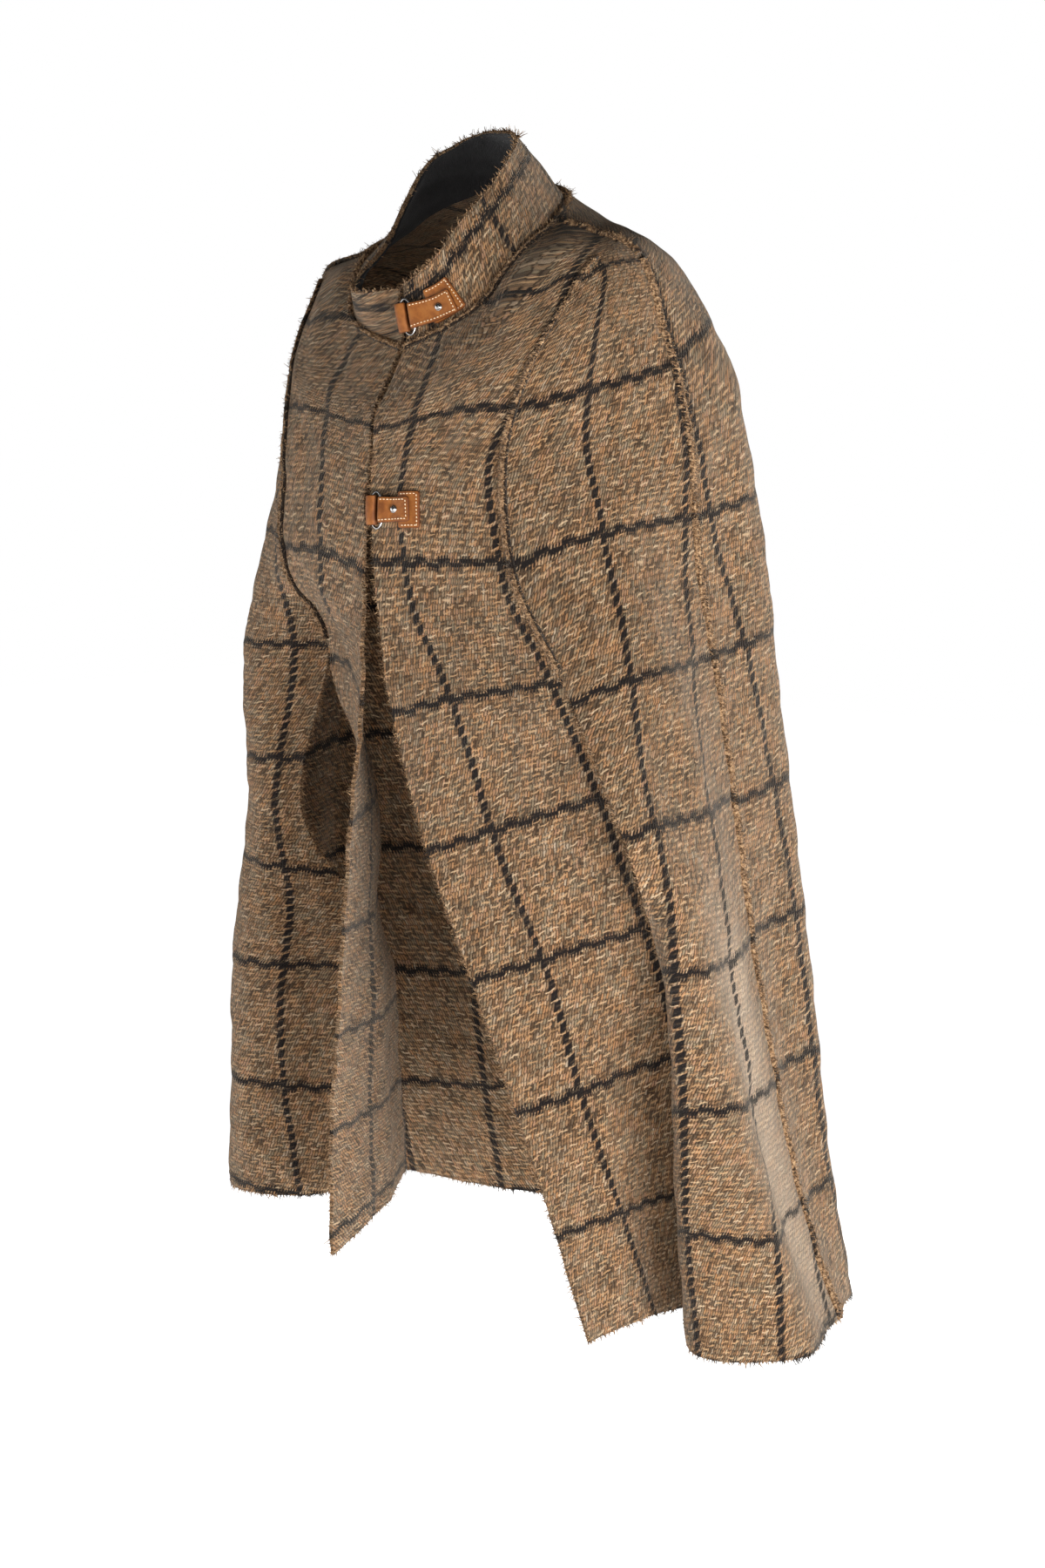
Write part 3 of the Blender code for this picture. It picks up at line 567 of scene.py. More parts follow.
def soft_lines(name, points, table):
    """Sum of a table's soft lines down one piece of cloth, each fading sideways and towards its ends."""
    along = np.linspace(0.0, 1.0, CREASE_POINTS)
    taper = ease(0.0, 0.35, along) * (1.0 - ease(0.8, 1.25, along))
    total = np.zeros(points.shape[:2])
    for panel, row_a, place_a, row_b, place_b, height, width in table:
        if panel == name:
            line = np.array([ring_points(row_a + (row_b - row_a) * t, [place_a + (place_b - place_a) * t],
                                         name.startswith("front"))[0] for t in along])
            gaps = np.linalg.norm(points[:, :, None, :] - line, axis=-1)
            total += height * (taper[np.argmin(gaps, axis=-1)] * np.exp(-(gaps.min(axis=-1) / width) ** 2))
    return total


def crease_lift(name, points):
    """Height of the soft creases and the small unevenness over a grid of points."""
    lift = soft_lines(name, points, CREASES)
    x, y, z = np.moveaxis(points, -1, 0)
    for height, wave in UNEVEN:
        turn = 2.0 * math.pi / wave
        lift += height * np.sin(turn * (x + 0.6 * z)) * np.sin(turn * (0.8 * y - 0.5 * z + 0.3 * x) + 1.3)
    return lift


def smooth_through(spots, values, wanted):
    """A smooth curve through points, straight beyond its ends."""
    spots = np.asarray(spots, float)
    values = np.asarray(values, float)
    slope = np.gradient(values, spots)
    index = np.clip(np.searchsorted(spots, wanted) - 1, 0, len(spots) - 2)
    size = spots[index + 1] - spots[index]
    share = np.clip((wanted - spots[index]) / size, 0.0, 1.0)
    curve = hermite(values[index], slope[index] * size, values[index + 1], slope[index + 1] * size, share)
    past = wanted - np.clip(wanted, spots[0], spots[-1])
    return curve + past * np.where(past > 0.0, slope[-1], slope[0])


def grain_places(name, places, points, normals):
    """Cloth coordinates of a grid: the grain is carried across each row from the piece's own grain line."""
    place, lean = GRAIN[name]
    start = np.argmin(np.abs(places - place), axis=1)[0]
    line = points[:, start]
    run = run_along(line)
    tilt = math.radians(lean)
    grain = unit(np.gradient(line, axis=0))
    grain = grain * math.cos(tilt) + np.cross(normals[:, start], grain) * math.sin(tilt)
    found = np.zeros(points.shape)
    found[:, start, 0] = run * math.sin(tilt)
    found[:, start, 1] = run * math.cos(tilt)
    for step in (1, -1):
        carried = grain.copy()
        last = points.shape[1] if step > 0 else -1
        for column in range(start + step, last, step):
            normal = normals[:, column]
            carried = unit(carried - normal * np.sum(carried * normal, axis=1, keepdims=True))
            move = points[:, column] - points[:, column - step]
            for axis, way in enumerate((np.cross(carried, normal), carried)):
                found[:, column, axis] = found[:, column - step, axis] + np.sum(move * way, axis=1)
    return found


def collar_places(places, points):
    """The collar is cut along its top edge, so its checks follow that edge."""
    run = run_along(points, 1)
    start = np.argmin(np.abs(places[0] - COLLAR_WARP))
    return np.dstack([run[:, start:start + 1] - run, run_along(points) - COLLAR_WEFT, np.zeros(run.shape)])


def cloth_places(name, rows, places, points, normals):
    """Cloth coordinates of a grid, drawn so that the warp lines lie where the photograph has them."""
    if name == "collar":
        return collar_places(places, points)
    found = grain_places(name, places, points, normals)
    run = run_along(points, 1)
    lines = []
    for apart, knots in WARP_LINES[name]:
        number, knot_row, knot_place = zip(*knots)
        numbers, spots = (smooth_through(knot_row, column, rows) for column in (number, knot_place))
        lines.append((apart, numbers, spots))
    for index, ring in enumerate(places):
        spots = [place[index:index + 1] for _, _, place in lines]
        at = [smooth_through(ring, run[index], spot)[0] for spot in spots]
        wanted = [(-apart, number[index] * CHECK_HEIGHT) for apart, number, _ in lines]
        for axis in range(2):
            drawn = found[index, :, axis]
            pulls = [target[axis] - smooth_through(ring, drawn, spot)[0]
                     for target, spot in zip(wanted, spots)]
            found[index, :, axis] = drawn + np.interp(run[index], at, pulls)
    # The third value is the strength of the painted sheen, a pale band at folds standing in for grazing
    # light
    found[:, :, 2] = np.clip(soft_lines(name, points, PAINTED_SHEEN_BANDS), 0.0, 1.0)
    return found


class Grid:
    """A piece of cloth as rows of points with outward normals, cloth places and ring places."""

    def __init__(self, name, rows, places, points, normals):
        self.name = name
        self.rows = rows
        self.places = places
        self.cloth = cloth_places(name, rows, places, points, normals)
        self.points = points + normals * crease_lift(name, points)[:, :, None]
        down, across = np.gradient(self.points, axis=(0, 1))
        self.normals = unit(np.cross(down, across))

    def at(self, row):
        """Points, normals and cloth places across the piece at any row."""
        index = int(np.clip(np.searchsorted(self.rows, row) - 1, 0, len(self.rows) - 2))
        share = (row - self.rows[index]) / (self.rows[index + 1] - self.rows[index])

        def mixed(values):
            return values[index] + (values[index + 1] - values[index]) * share

        return mixed(self.points), unit(mixed(self.normals)), mixed(self.cloth)


def panel_grid(name):
    """Grid of one panel, half a seam gap in from its seams."""
    on_front = name.startswith("front")
    rows = fine_rows(SIDE_TIP_ROW if name.startswith("side") else 0.0)
    places = []
    points = []
    normals = []
    for row in rows:
        low, high = panel_bounds(name, row)
        ends = ring_points(row, [low, low + PLACE_STEP, high - PLACE_STEP, high], on_front)
        low_step = PLACE_STEP * 0.5 * SEAM_GAP / np.linalg.norm(ends[1] - ends[0])
        high_step = PLACE_STEP * 0.5 * SEAM_GAP / np.linalg.norm(ends[3] - ends[2])
        line = np.linspace(low + low_step, high - high_step, PANEL_COLUMNS[name])
        sides = (low, high) if row > CREASE_START_ROW else (LEFT_EDGE, RIGHT_EDGE)
        places.append(line)
        points.append(ring_points(row, line, on_front))
        normals.append(ring_normals(row, line, on_front, *sides))
    return Grid(name, rows, np.array(places), np.array(points), np.array(normals))


def collar_grid():
    places = np.linspace(LEFT_EDGE, RIGHT_EDGE, COLLAR_COLUMNS)
    last_row = -SEAM_GAP / np.linalg.norm(COLLAR_TOP[0] - RINGS[0][0])
    rows = np.linspace(-1.0, last_row, COLLAR_ROWS)
    points = np.array([ring_points(row, places) for row in rows])
    normals = np.array([ring_normals(row, places) for row in rows])
    return Grid("collar", rows, np.tile(places, (COLLAR_ROWS, 1)), points, normals)


class Value:
    """A number or colour that a material works out, so that sums of them read as sums."""

    def __init__(self, nodes, socket):
        self.nodes = nodes
        self.socket = socket

    def __add__(self, other):
        return self.nodes.maths("ADD", self, other)

    def __sub__(self, other):
        return self.nodes.maths("SUBTRACT", self, other)

    def __mul__(self, other):
        return self.nodes.maths("MULTIPLY", self, other)

    def __truediv__(self, number):
        return self * (1.0 / number)

    def __abs__(self):
        return self.nodes.maths("ABSOLUTE", self)

    def __floor__(self):
        return self.nodes.maths("FLOOR", self)

    def fraction(self):
        return self.nodes.maths("FRACT", self)


class Nodes:
    """Short forms for building the nodes of one material, or of the world."""

    def __init__(self, owner, shader="Principled BSDF"):
        owner.use_nodes = True
        self.owner = owner
        self.tree = owner.node_tree
        self.shader = self.tree.nodes[shader]

    def link(self, value, socket):
        if isinstance(value, Value):
            self.tree.links.new(value.socket, socket)
        else:
            socket.default_value = value

    def make(self, kind, values, output=0, **settings):
        """A new node with its settings and its inputs, by name or number; gives one of its outputs."""
        node = self.tree.nodes.new("ShaderNode" + kind)
        for name, setting in settings.items():
            setattr(node, name, setting)
        for key, value in values.items():
            self.link(value, node.inputs[key])
        return Value(self, node.outputs[output])

    def maths(self, operation, *values):
        return self.make("Math", dict(enumerate(values)), operation=operation)

    def range(self, *values, interpolation="LINEAR"):
        """Carries a value from one range, low and high, to another."""
        return self.make("MapRange", dict(enumerate(values)), interpolation_type=interpolation)

    def step(self, value, low, high, to_low=0.0, to_high=1.0):
        """A smooth step from to_low to to_high as the value goes from low to high."""
        return self.range(value, low, high, to_low, to_high, interpolation="SMOOTHSTEP")

    def noise(self, vector, kind):
        values = dict(zip(("Scale", "Detail", "Roughness"), NOISES[kind]), Vector=vector)
        return self.make("TexNoise", values, "Fac")

    def chance(self, first, second=0.0):
        """An even random number for each pair of whole numbers."""
        pair = {"Vector": self.vector(first, second)}
        return self.make("TexWhiteNoise", pair, "Value", noise_dimensions="2D")

    def vector(self, x, y):
        return self.make("CombineXYZ", {0: x, 1: y})

    def split(self, vector):
        node = self.make("SeparateXYZ", {0: vector}).socket.node
        return [Value(self, socket) for socket in node.outputs]

    def cloth_place(self):
        return self.make("Attribute", {}, "Vector", attribute_name="cloth_place")

    def place(self):
        return self.make("TexCoord", {}, "Object")

    def ramp(self, value, stops):
        found = self.make("ValToRGB", {0: value})
        points = found.socket.node.color_ramp.elements
        while len(points) < len(stops):
            points.new(0.5)
        for point, (at, colour) in zip(points, stops):
            point.position = at
            point.color = (*colour, 1.0)
        return found

    def mix(self, share, first, second):
        return self.make("Mix", {0: share, 6: first, 7: second}, 2, data_type="RGBA")

    def bump(self, height, strength, distance):
        self.set(Normal=self.make("Bump", {"Height": height, "Strength": strength, "Distance": distance}))

    def set(self, **values):
        for name, value in values.items():
            self.link(value, self.shader.inputs[name.replace("_", " ")])


def material_nodes(name):
    return Nodes(bpy.data.materials.new(name))


def cloth_axes(nodes):
    """Cloth places across and down in millimetres, a little uneven as woven, and their third value:
    painted sheen on panels, the share across a raised allowance for its painted shade.
    """
    across, down, third = nodes.split(nodes.cloth_place())
    shift = nodes.noise(nodes.cloth_place(), "wander") * WEAVE_WANDER - 0.5 * WEAVE_WANDER
    return across * MM + shift, down * MM + shift, third


def centred(value, pitch):
    """Distance from the middle of the repeat that a value falls in."""
    return (value / pitch + 0.5).fraction() * pitch - 0.5 * pitch


def check_mask(nodes, across, down):
    """Black yarn of the windowpane check: slanted marks down the warp and a toothed comb along the weft."""
    half_width, half_height, pitch, slant = LOZENGE
    along = centred(down, pitch)
    aside = along * slant + centred(across, CHECK_WIDTH * MM)
    marks = (nodes.step(abs(aside), half_width + 0.5, half_width - 0.5)
             * nodes.step(abs(aside * -0.45 + along), half_height + 0.6, half_height - 0.4))
    segment, rise, body, teeth, tooth = COMB
    side = nodes.maths("SIGN", centred(across, segment))
    far = abs(side * rise + centred(down, CHECK_HEIGHT * MM))
    spread = nodes.step(abs(centred(down * STROKE_SLANT + across, tooth)), 0.95, 0.45)
    comb = nodes.maths("MAXIMUM", nodes.step(far, body + 0.4, body - 0.4),
                       nodes.step(far, teeth + 0.5, teeth - 0.5) * spread)
    return nodes.maths("MAXIMUM", marks, comb)


def wool_finish(nodes, colour, height, strength, distance):
    nodes.set(Base_Color=colour, Roughness=0.92, Specular_IOR_Level=0.10, Sheen_Weight=0.26,
              Sheen_Roughness=0.40, Sheen_Tint=SHEEN_TINT)
    nodes.bump(height, strength, distance)
    return nodes.owner


def tweed_material():
    """Heavy wool: rows of slanted warp strokes in mixed yarn, light weft floats, black windowpane check."""
    nodes = material_nodes("tweed")
    across, down, painted_sheen = cloth_axes(nodes)
    here = nodes.vector(across, down)
    turned = nodes.vector(down, across)
    fuzz = nodes.noise(nodes.place(), "fuzz")
    wobble = nodes.noise(here, "wobble")
    # Rows of weft, and the strokes of warp counted along each
    level = down / WEFT_ROW + nodes.noise(turned, "rows")
    row = math.floor(level)
    in_row = level.fraction() - 0.5
    slanted = down * STROKE_SLANT + (wobble * 1.5 + across)
    counted = slanted / STROKE_PITCH + nodes.chance(row) * 7.0
    number = math.floor(counted)
    stroke = (nodes.step(abs(counted.fraction() - 0.5), *STROKE_EDGE)
              * nodes.step(abs(in_row), *STROKE_ENDS))
    # Each stroke's own tone, in warm and cool yarn
    tone = nodes.noise(here, "patches") * 0.55 + (nodes.chance(number, row) * 0.80 - 0.18)
    cool = nodes.step(nodes.chance(row, number) * 0.30 + nodes.noise(turned, "cool yarn"), *COOL_YARN)
    yarn = nodes.mix(cool, nodes.ramp(tone, WARM), nodes.ramp(tone, COOL))
    colour = nodes.mix(stroke, nodes.mix(0.88, yarn, GAP), yarn)
    # Light weft floats over the strokes, then the painted sheen at folds and the black check
    drop = row * 0.5 + nodes.chance(row, 3.0) * 0.30
    repeat = (wobble * 3.0 + across) / FLOAT_PITCH + drop
    along = repeat.fraction() - 0.5
    luck = nodes.chance(math.floor(repeat), row)
    above = along * (-FLOAT_RISE * FLOAT_PITCH) + in_row * WEFT_ROW
    floats = nodes.step(abs(above), *FLOAT_THICK) * nodes.step(abs(along), *FLOAT_HALF)
    floats = floats * nodes.step(luck, *FLOAT_LUCK)
    colour = nodes.mix(floats, colour, nodes.ramp(luck, FLOATS))
    # Pale painted sheen where the cloth turns away at folds, standing in for grazing light
    colour = nodes.mix(painted_sheen * (stroke * 0.38 + 0.26), colour, PAINTED_SHEEN_COLOUR)
    ink = check_mask(nodes, across, down) * nodes.step(fuzz, *WORN_INK) * (floats * -0.08 + 0.99)
    height = floats * 0.5 + (stroke * 0.6 + fuzz)
    return wool_finish(nodes, nodes.mix(ink, colour, INK), height, 0.8, 0.0010)


def raw_material():
    """Cut and frayed cloth: fine twisted yarn, black where the check runs out, painted shade in a seam's
    groove.
    """
    nodes = material_nodes("tweed_raw")
    across, down, groove_shade = cloth_axes(nodes)
    twist = nodes.noise(nodes.place(), "cut yarn")
    colour = nodes.mix(check_mask(nodes, across, down) * 0.94, nodes.ramp(twist, RAW), INK)
    # Painted shade along one side of a raised allowance, where it meets the cloth
    colour = nodes.mix(nodes.step(groove_shade, *GROOVE_SHADE_STEP), colour, GROOVE_SHADE)
    return wool_finish(nodes, colour, twist, 1.0, 0.0020)


def thread_material(name, colour, shade):
    nodes = material_nodes(name)
    twist = nodes.step(nodes.noise(nodes.place(), "thread"), *THREAD_TWIST)
    nodes.set(Base_Color=nodes.mix(twist, shade, colour), Roughness=0.7, Sheen_Weight=0.2)
    return nodes.owner


def facing_material():
    """Matt black woven cloth."""
    nodes = material_nodes("facing")
    across, down, _ = nodes.split(nodes.cloth_place())
    waves = nodes.maths("SINE", across * FACING_WEAVE) * nodes.maths("SINE", down * FACING_WEAVE)
    blotch = nodes.noise(nodes.place(), "facing")
    nodes.set(Base_Color=nodes.ramp(blotch, BLACK_CLOTH), Roughness=0.85, Sheen_Weight=0.15)
    nodes.bump(waves, 0.35, 0.0004)
    return nodes.owner


def leather_material():
    """Smooth tan leather: soft mottling, fine grain, dark burnished edges."""
    nodes = material_nodes("leather")
    rim, _, _ = nodes.split(nodes.cloth_place())
    colour = nodes.ramp(nodes.noise(nodes.place(), "leather"), TAN)
    colour = nodes.mix(nodes.step(rim, *RIM_DARK), colour, BURNISHED)
    grain = nodes.noise(nodes.place(), "grain")
    nodes.set(Base_Color=colour, Roughness=nodes.step(grain, *LEATHER_ROUGH), Specular_IOR_Level=0.32)
    nodes.bump(grain, 0.22, 0.0005)
    return nodes.owner


def metal_material():
    """Polished dark nickel with faint wear."""
    nodes = material_nodes("metal")
    wear = nodes.noise(nodes.place(), "wear")
    nodes.set(Base_Color=nodes.ramp(wear, NICKEL), Metallic=1.0, Roughness=nodes.step(wear, *METAL_ROUGH))
    return nodes.owner


def linked(name, data):
    """An object of the scene that shows a mesh, a lamp or a camera."""
    made = bpy.data.objects.new(name, data)
    bpy.context.scene.collection.objects.link(made)
    return made


def piece(name, points, faces, material, places=None, sharp=55.0):
    """A mesh object on the part's one body, with the cloth's places on its points."""
    mesh = bpy.data.meshes.new(name)
    points = np.asarray(points, np.float32).reshape(-1, 3)
    faces = np.asarray(faces, np.int32)
    mesh.vertices.add(len(points))
    mesh.vertices.foreach_set("co", points.ravel())
    mesh.loops.add(faces.size)
    mesh.loops.foreach_set("vertex_index", faces.ravel())
    mesh.polygons.add(len(faces))
    mesh.polygons.foreach_set("loop_start", np.arange(0, faces.size, faces.shape[1], dtype=np.int32))
    mesh.update(calc_edges=True)
    if places is not None:
        layer = mesh.attributes.new("cloth_place", "FLOAT_VECTOR", "POINT")
        layer.data.foreach_set("vector", np.asarray(places, np.float32).ravel())
    mesh.shade_smooth()
    mesh.set_sharp_from_angle(angle=math.radians(sharp))
    mesh.materials.append(material)
    made = linked(name, mesh)
    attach(made, "root")
    return made


def grid_faces(rows, columns, first=0, flip=False):
    corner = first + np.arange(rows - 1)[:, None] * columns + np.arange(columns - 1)
    faces = np.stack([corner, corner + columns, corner + columns + 1, corner + 1], axis=-1).reshape(-1, 4)
    return faces[:, ::-1] if flip else faces


def tube_faces(turns, sides, closed=False):
    """Faces of a tube of rings of points; closed joins the last ring to the first."""
    turn = np.arange(turns if closed else turns - 1)[:, None]
    ring = np.arange(sides)
    after = np.roll(ring, -1)
    here = turn * sides
    ahead = ((turn + 1) % turns) * sides
    return np.stack([here + ring, here + after, ahead + after, ahead + ring], axis=-1).reshape(-1, 4)


def wall(name, outer, inner, material, places=None):
    """A closed shell between two grids of points."""
    rows, columns = outer.shape[:2]
    count = rows * columns
    last = (rows - 1) * columns
    rim = np.concatenate([np.arange(columns), np.arange(1, rows) * columns + columns - 1,
                          last + np.arange(columns - 2, -1, -1), np.arange(rows - 2, 0, -1) * columns])
    after = np.roll(rim, -1)
    sides = np.stack([rim, after, after + count, rim + count], axis=-1)
    faces = np.concatenate([grid_faces(rows, columns), grid_faces(rows, columns, count, True), sides])
    points = np.concatenate([outer.reshape(-1, 3), inner.reshape(-1, 3)])
    if places is not None:
        places = np.concatenate([places.reshape(-1, 3)] * 2)
    return piece(name, points, faces, material, places)


def tubes(name, lines, first, second, thick, sides, material, cloth=None):
    """Many thin tubes as one mesh: each follows its line of points with its own thickness at each point."""
    count, rings = lines.shape[:2]
    turn = np.arange(sides) * 2.0 * math.pi / sides
    spoke = first[:, :, None] * np.cos(turn)[:, None] + second[:, :, None] * np.sin(turn)[:, None]
    skin = lines[:, :, None] + spoke * thick[:, :, None, None]
    size = rings * sides
    faces = (np.arange(count)[:, None, None] * size + tube_faces(rings, sides)).reshape(-1, 4)
    if cloth is not None:
        cloth = np.repeat(np.column_stack([cloth[:, :2], np.zeros(count)]), size, axis=0)
    return piece(name, skin, faces, material, cloth)


def shells(grids, looks):
    """The cloth itself: a thin shell on the form of every panel, the collar and its facing."""
    for name, (width, length, area) in SHEETS.items():
        inside = name == "collar_facing"
        grid = grids["collar" if inside else name]
        slot = "facing" if inside else "tweed"
        outer = grid.points - (CLOTH + SEAM_GAP if inside else 0.0) * grid.normals
        inner = outer - (FACING if inside else CLOTH) * grid.normals
        made = wall(name + "_cloth", outer, inner, looks[slot], grid.cloth)
        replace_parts(made, name)


def beside(grid, row, at_end, distances):
    """Points, normals and cloth places at distances in from one edge of a piece."""
    points, normals, cloth = (line[::-1] if at_end else line for line in grid.at(row))
    run = run_along(points)
    points, normals, cloth = (sampled(distances, run, line) for line in (points, normals, cloth))
    return points, unit(normals), cloth


def even_rows(grid, first_row, last_row, at_end, step):
    """Rows that fall an even step apart along one edge of a piece."""
    tries = np.linspace(first_row, last_row, ROW_TRIES)
    run = run_along(np.array([grid.at(row)[0][-1 if at_end else 0] for row in tries]))
    return np.interp(np.linspace(0.0, run[-1], max(int(run[-1] / step), 2)), run, tries)


def seam_lines(before, after, side, rows):
    """Points, normals and cloth places across a seam, from one panel to the next, at each row."""
    half = np.linspace(0.5 * RIDGE_SHOWN, 0.0, RIDGE_POINTS)
    lines = []
    for row in rows:
        near = beside(before(side, row), row, True, half)
        far = beside(after(side, row), row, False, half[::-1])
        lines.append([np.concatenate([a, b]) for a, b in zip(near, far)])
    return [np.array(part) for part in zip(*lines)]


def collar_seam_lines(grids):
    """Points, normals and cloth places over the collar seam's ridge, each line across it."""
    rows = np.linspace(*COLLAR_RIDGE_ROWS, 2 * RIDGE_POINTS)
    parts = []
    for name in ("front_left", "back", "front_right"):
        found = [grids[name].at(row) for row in rows]
        parts.append([np.stack([line[kind] for line in found], axis=1) for kind in range(3)])
    return [np.concatenate([part[kind] for part in parts]) for kind in range(3)]


def rounded(share):
    """Height of a raised allowance at shares from -1 to 1 across it."""
    return RIDGE_HEIGHT * np.sqrt(np.clip(1.02 - share ** 2, 0.0, 1.0))


def ridge(name, lines, material):
    """A raised raw allowance: rounded over the seam, uneven in height and width."""
    points, normals, cloth = lines
    count, width = points.shape[:2]
    share = np.linspace(-1.0, 1.0, width)
    along = np.arange(count)
    rough = random.normal(0.0, 1.0, (count, width))
    rough = 0.5 * rough + 0.25 * (np.roll(rough, 1, axis=0) + np.roll(rough, -1, axis=0))
    swell = 1.0 + 0.10 * np.sin(along * 0.37 + 1.0) + 0.07 * np.sin(along * 0.149)
    height = rounded(share) * (1.0 + RIDGE_ROUGH * rough) * swell[:, None] - RIDGE_SINK
    over = points + normals * height[:, :, None]
    under = points - normals * 2.0 * RIDGE_SINK
    # The share across carries the painted shade along one side of the allowance
    cloth = np.dstack([cloth[:, :, :2], np.tile(share, (count, 1))])
    return wall(name, over, under, material, cloth)


def along_line(line, per_metre):
    """Random places along a line of points: index and share of the step after it."""
    run = run_along(line)
    spots = np.sort(random.uniform(0.0, run[-1], int(run[-1] * per_metre)))
    index = np.clip(np.searchsorted(run, spots) - 1, 0, len(line) - 2)
    share = (spots - run[index]) / np.maximum(run[index + 1] - run[index], 1e-9)
    return index, share[:, None]


class Strip:
    """A strip of cloth along a seam, found at random places along it and at any place across it."""

    def __init__(self, lines, per_metre):
        self.points, self.normals, self.cloth = lines
        self.last = self.points.shape[1] - 1.001
        self.index, self.share = along_line(self.points[:, self.points.shape[1] // 2], per_metre)
        self.sides = unit(self.points[:, -1] - self.points[:, 0])[self.index]

    def found(self, values, lean):
        """Values at each place along, where lean runs from -1 to 1 across the strip."""
        across = np.clip(0.5 * (lean + 1.0), 0.0, 1.0) * self.last
        column = across.astype(int)
        part = (across - column)[:, None]
        near, far = (values[index, column] * (1.0 - part) + values[index, column + 1] * part
                     for index in (self.index, self.index + 1))
        return near + (far - near) * self.share

    def raised(self, lean, lift):
        """Points on the rounded allowance, or a little above it."""
        height = rounded(lean) + lift
        return self.found(self.points, lean) + unit(self.found(self.normals, lean)) * height[:, None]


def strands(name, roots, ways, cloth, setup, material):
    """Frayed yarn ends: thin tapered tubes that leave their roots along their ways, and bend."""
    length, spread, radius, _ = setup
    count = len(roots)
    ways = unit(ways + random.normal(0.0, spread, (count, 3)))
    bend = random.normal(0.0, 0.40, (count, 3))
    reach = length * random.uniform(0.35, 1.15, count)[:, None, None]
    along = np.linspace(0.0, 1.0, FRAY_RINGS)[:, None]
    lines = roots[:, None] + reach * (ways[:, None] * along + bend[:, None] * along ** 2)
    first = unit(np.cross(ways, random.normal(0.0, 1.0, (count, 3))))
    second = np.cross(ways, first)
    thick = radius * random.uniform(0.7, 1.3, count)[:, None] * np.linspace(1.0, 0.35, FRAY_RINGS)
    return tubes(name, lines, first[:, None], second[:, None], thick, FRAY_SIDES, material, cloth)


def ridge_fray(name, lines, material):
    """Yarn ends along both sides and over the top of a raised allowance."""
    strip = Strip(lines, FRAY_SEAM[3])
    lean = random.uniform(-1.0, 1.0, len(strip.index))
    ways = strip.sides * lean[:, None] * 1.3 + unit(strip.found(strip.normals, lean)) * 0.45
    roots = strip.raised(lean, -2.0 * RIDGE_SINK)
    return strands(name, roots, ways, strip.found(strip.cloth, lean), FRAY_SEAM, material)


def ridge_loops(name, lines, material):
    """Thick yarn over a raised allowance, each turn tilted along the seam, like a loose whipped rope."""
    per_metre, radius, rings, tilt = SEAM_LOOPS
    strip = Strip(lines, per_metre)
    count = len(strip.index)
    middle = strip.found(strip.normals, np.zeros(count))
    along = unit(np.cross(strip.sides, middle))
    lean = np.linspace(-1.0, 0.42, rings)
    shift = tilt * (1.0 + random.normal(0.0, 0.45, count))
    wave = random.normal(0.0, 0.16, (count, rings))
    line = np.stack([strip.raised(np.clip(value + wave[:, step], -1.0, 1.0), -0.2 * radius)
                     + along * (shift * value)[:, None] for step, value in enumerate(lean)], axis=1)
    first = np.repeat(along[:, None], rings, axis=1)
    second = np.cross(unit(np.gradient(line, axis=1)), first)
    thick = radius * random.uniform(0.75, 1.3, count)[:, None] * (1.0 - 0.35 * lean ** 4)
    cloth = strip.found(strip.cloth, np.zeros(count))
    return tubes(name, line, first, second, thick, LOOP_SIDES, material, cloth)


def seams(grids, looks):
    """Raised raw allowances on the outside of every seam that shows, with their yarn ends."""

    def front(side, row):
        return grids["front_" + side]

    def flank(side, row):
        return grids["side_" + side]

    def front_or_flank(side, row):
        return front(side, row) if row <= BRANCH_ROW else flank(side, row)

    def back(side, row):
        return grids["back"]

    table = [
        # seam, rows, piece in front of it, piece behind it
        ("shoulder", SHOULDER_RIDGE_ROWS, front_or_flank, back),
        ("side", SIDE_RIDGE_ROWS, front_or_flank, back),
        ("princess", PRINCESS_RIDGE_ROWS, front, flank),
    ]
    found = {}
    for seam, rows, ahead, behind in table:
        for side, order in (("left", (ahead, behind)), ("right", (behind, ahead))):
            spaced = even_rows(behind(side, rows[0]), *rows, side == "right", RIDGE_STEP)
            found[f"seam_{seam}_{side}"] = seam_lines(*order, side, spaced)
    found["seam_collar"] = collar_seam_lines(grids)
    for name, lines in found.items():
        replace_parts(ridge(name + "_form", lines, looks["raw"]), name)
        ridge_fray(name + "_fray", lines, looks["raw"])
        ridge_loops(name + "_loops", lines, looks["raw"])


def edge_fray(name, grid, edge, material, first_row=-1.0):
    """Short yarn ends that stand out of a raw edge, through the thickness of the cloth."""
    axis, cut = EDGES[edge]
    inside = 1 if cut == 0 else -2
    here = np.take(grid.points, cut, axis)
    lines = [here, unit(here - np.take(grid.points, inside, axis)), np.take(grid.normals, cut, axis),
             np.take(grid.cloth, cut, axis)]
    if axis == 1:
        lines = [line[grid.rows >= first_row] for line in lines]
    index, share = along_line(lines[0], FRAY_EDGE[3])
    points, ways, normals, cloth = (line[index] + (line[index + 1] - line[index]) * share for line in lines)
    depth = random.uniform(0.05, 0.95, len(index))[:, None] * CLOTH
    return strands(name, points - normals * depth - ways * FRAY_ROOT, ways, cloth, FRAY_EDGE, material)


def tufts(looks):
    """Long yarn ends that stand up where a seam runs out at an edge, on both sides alike."""
    count = TUFT[3]
    cloth = np.full((count, 2), OFF_CHECK)
    for side, turn in (("left", 1.0), ("right", -1.0)):
        for name, row, place, (x, y, z) in TUFTS:
            middle = place if side == "left" else RIGHT_EDGE - place
            places = np.clip(middle + random.normal(0.0, TUFT_WIDTH, count), LEFT_EDGE, RIGHT_EDGE)
            roots = ring_points(row, np.sort(places))
            ways = np.tile((turn * x, y, z), (count, 1))
            strands(f"{name}_{side}_tuft", roots, ways, cloth, TUFT, looks["raw"])


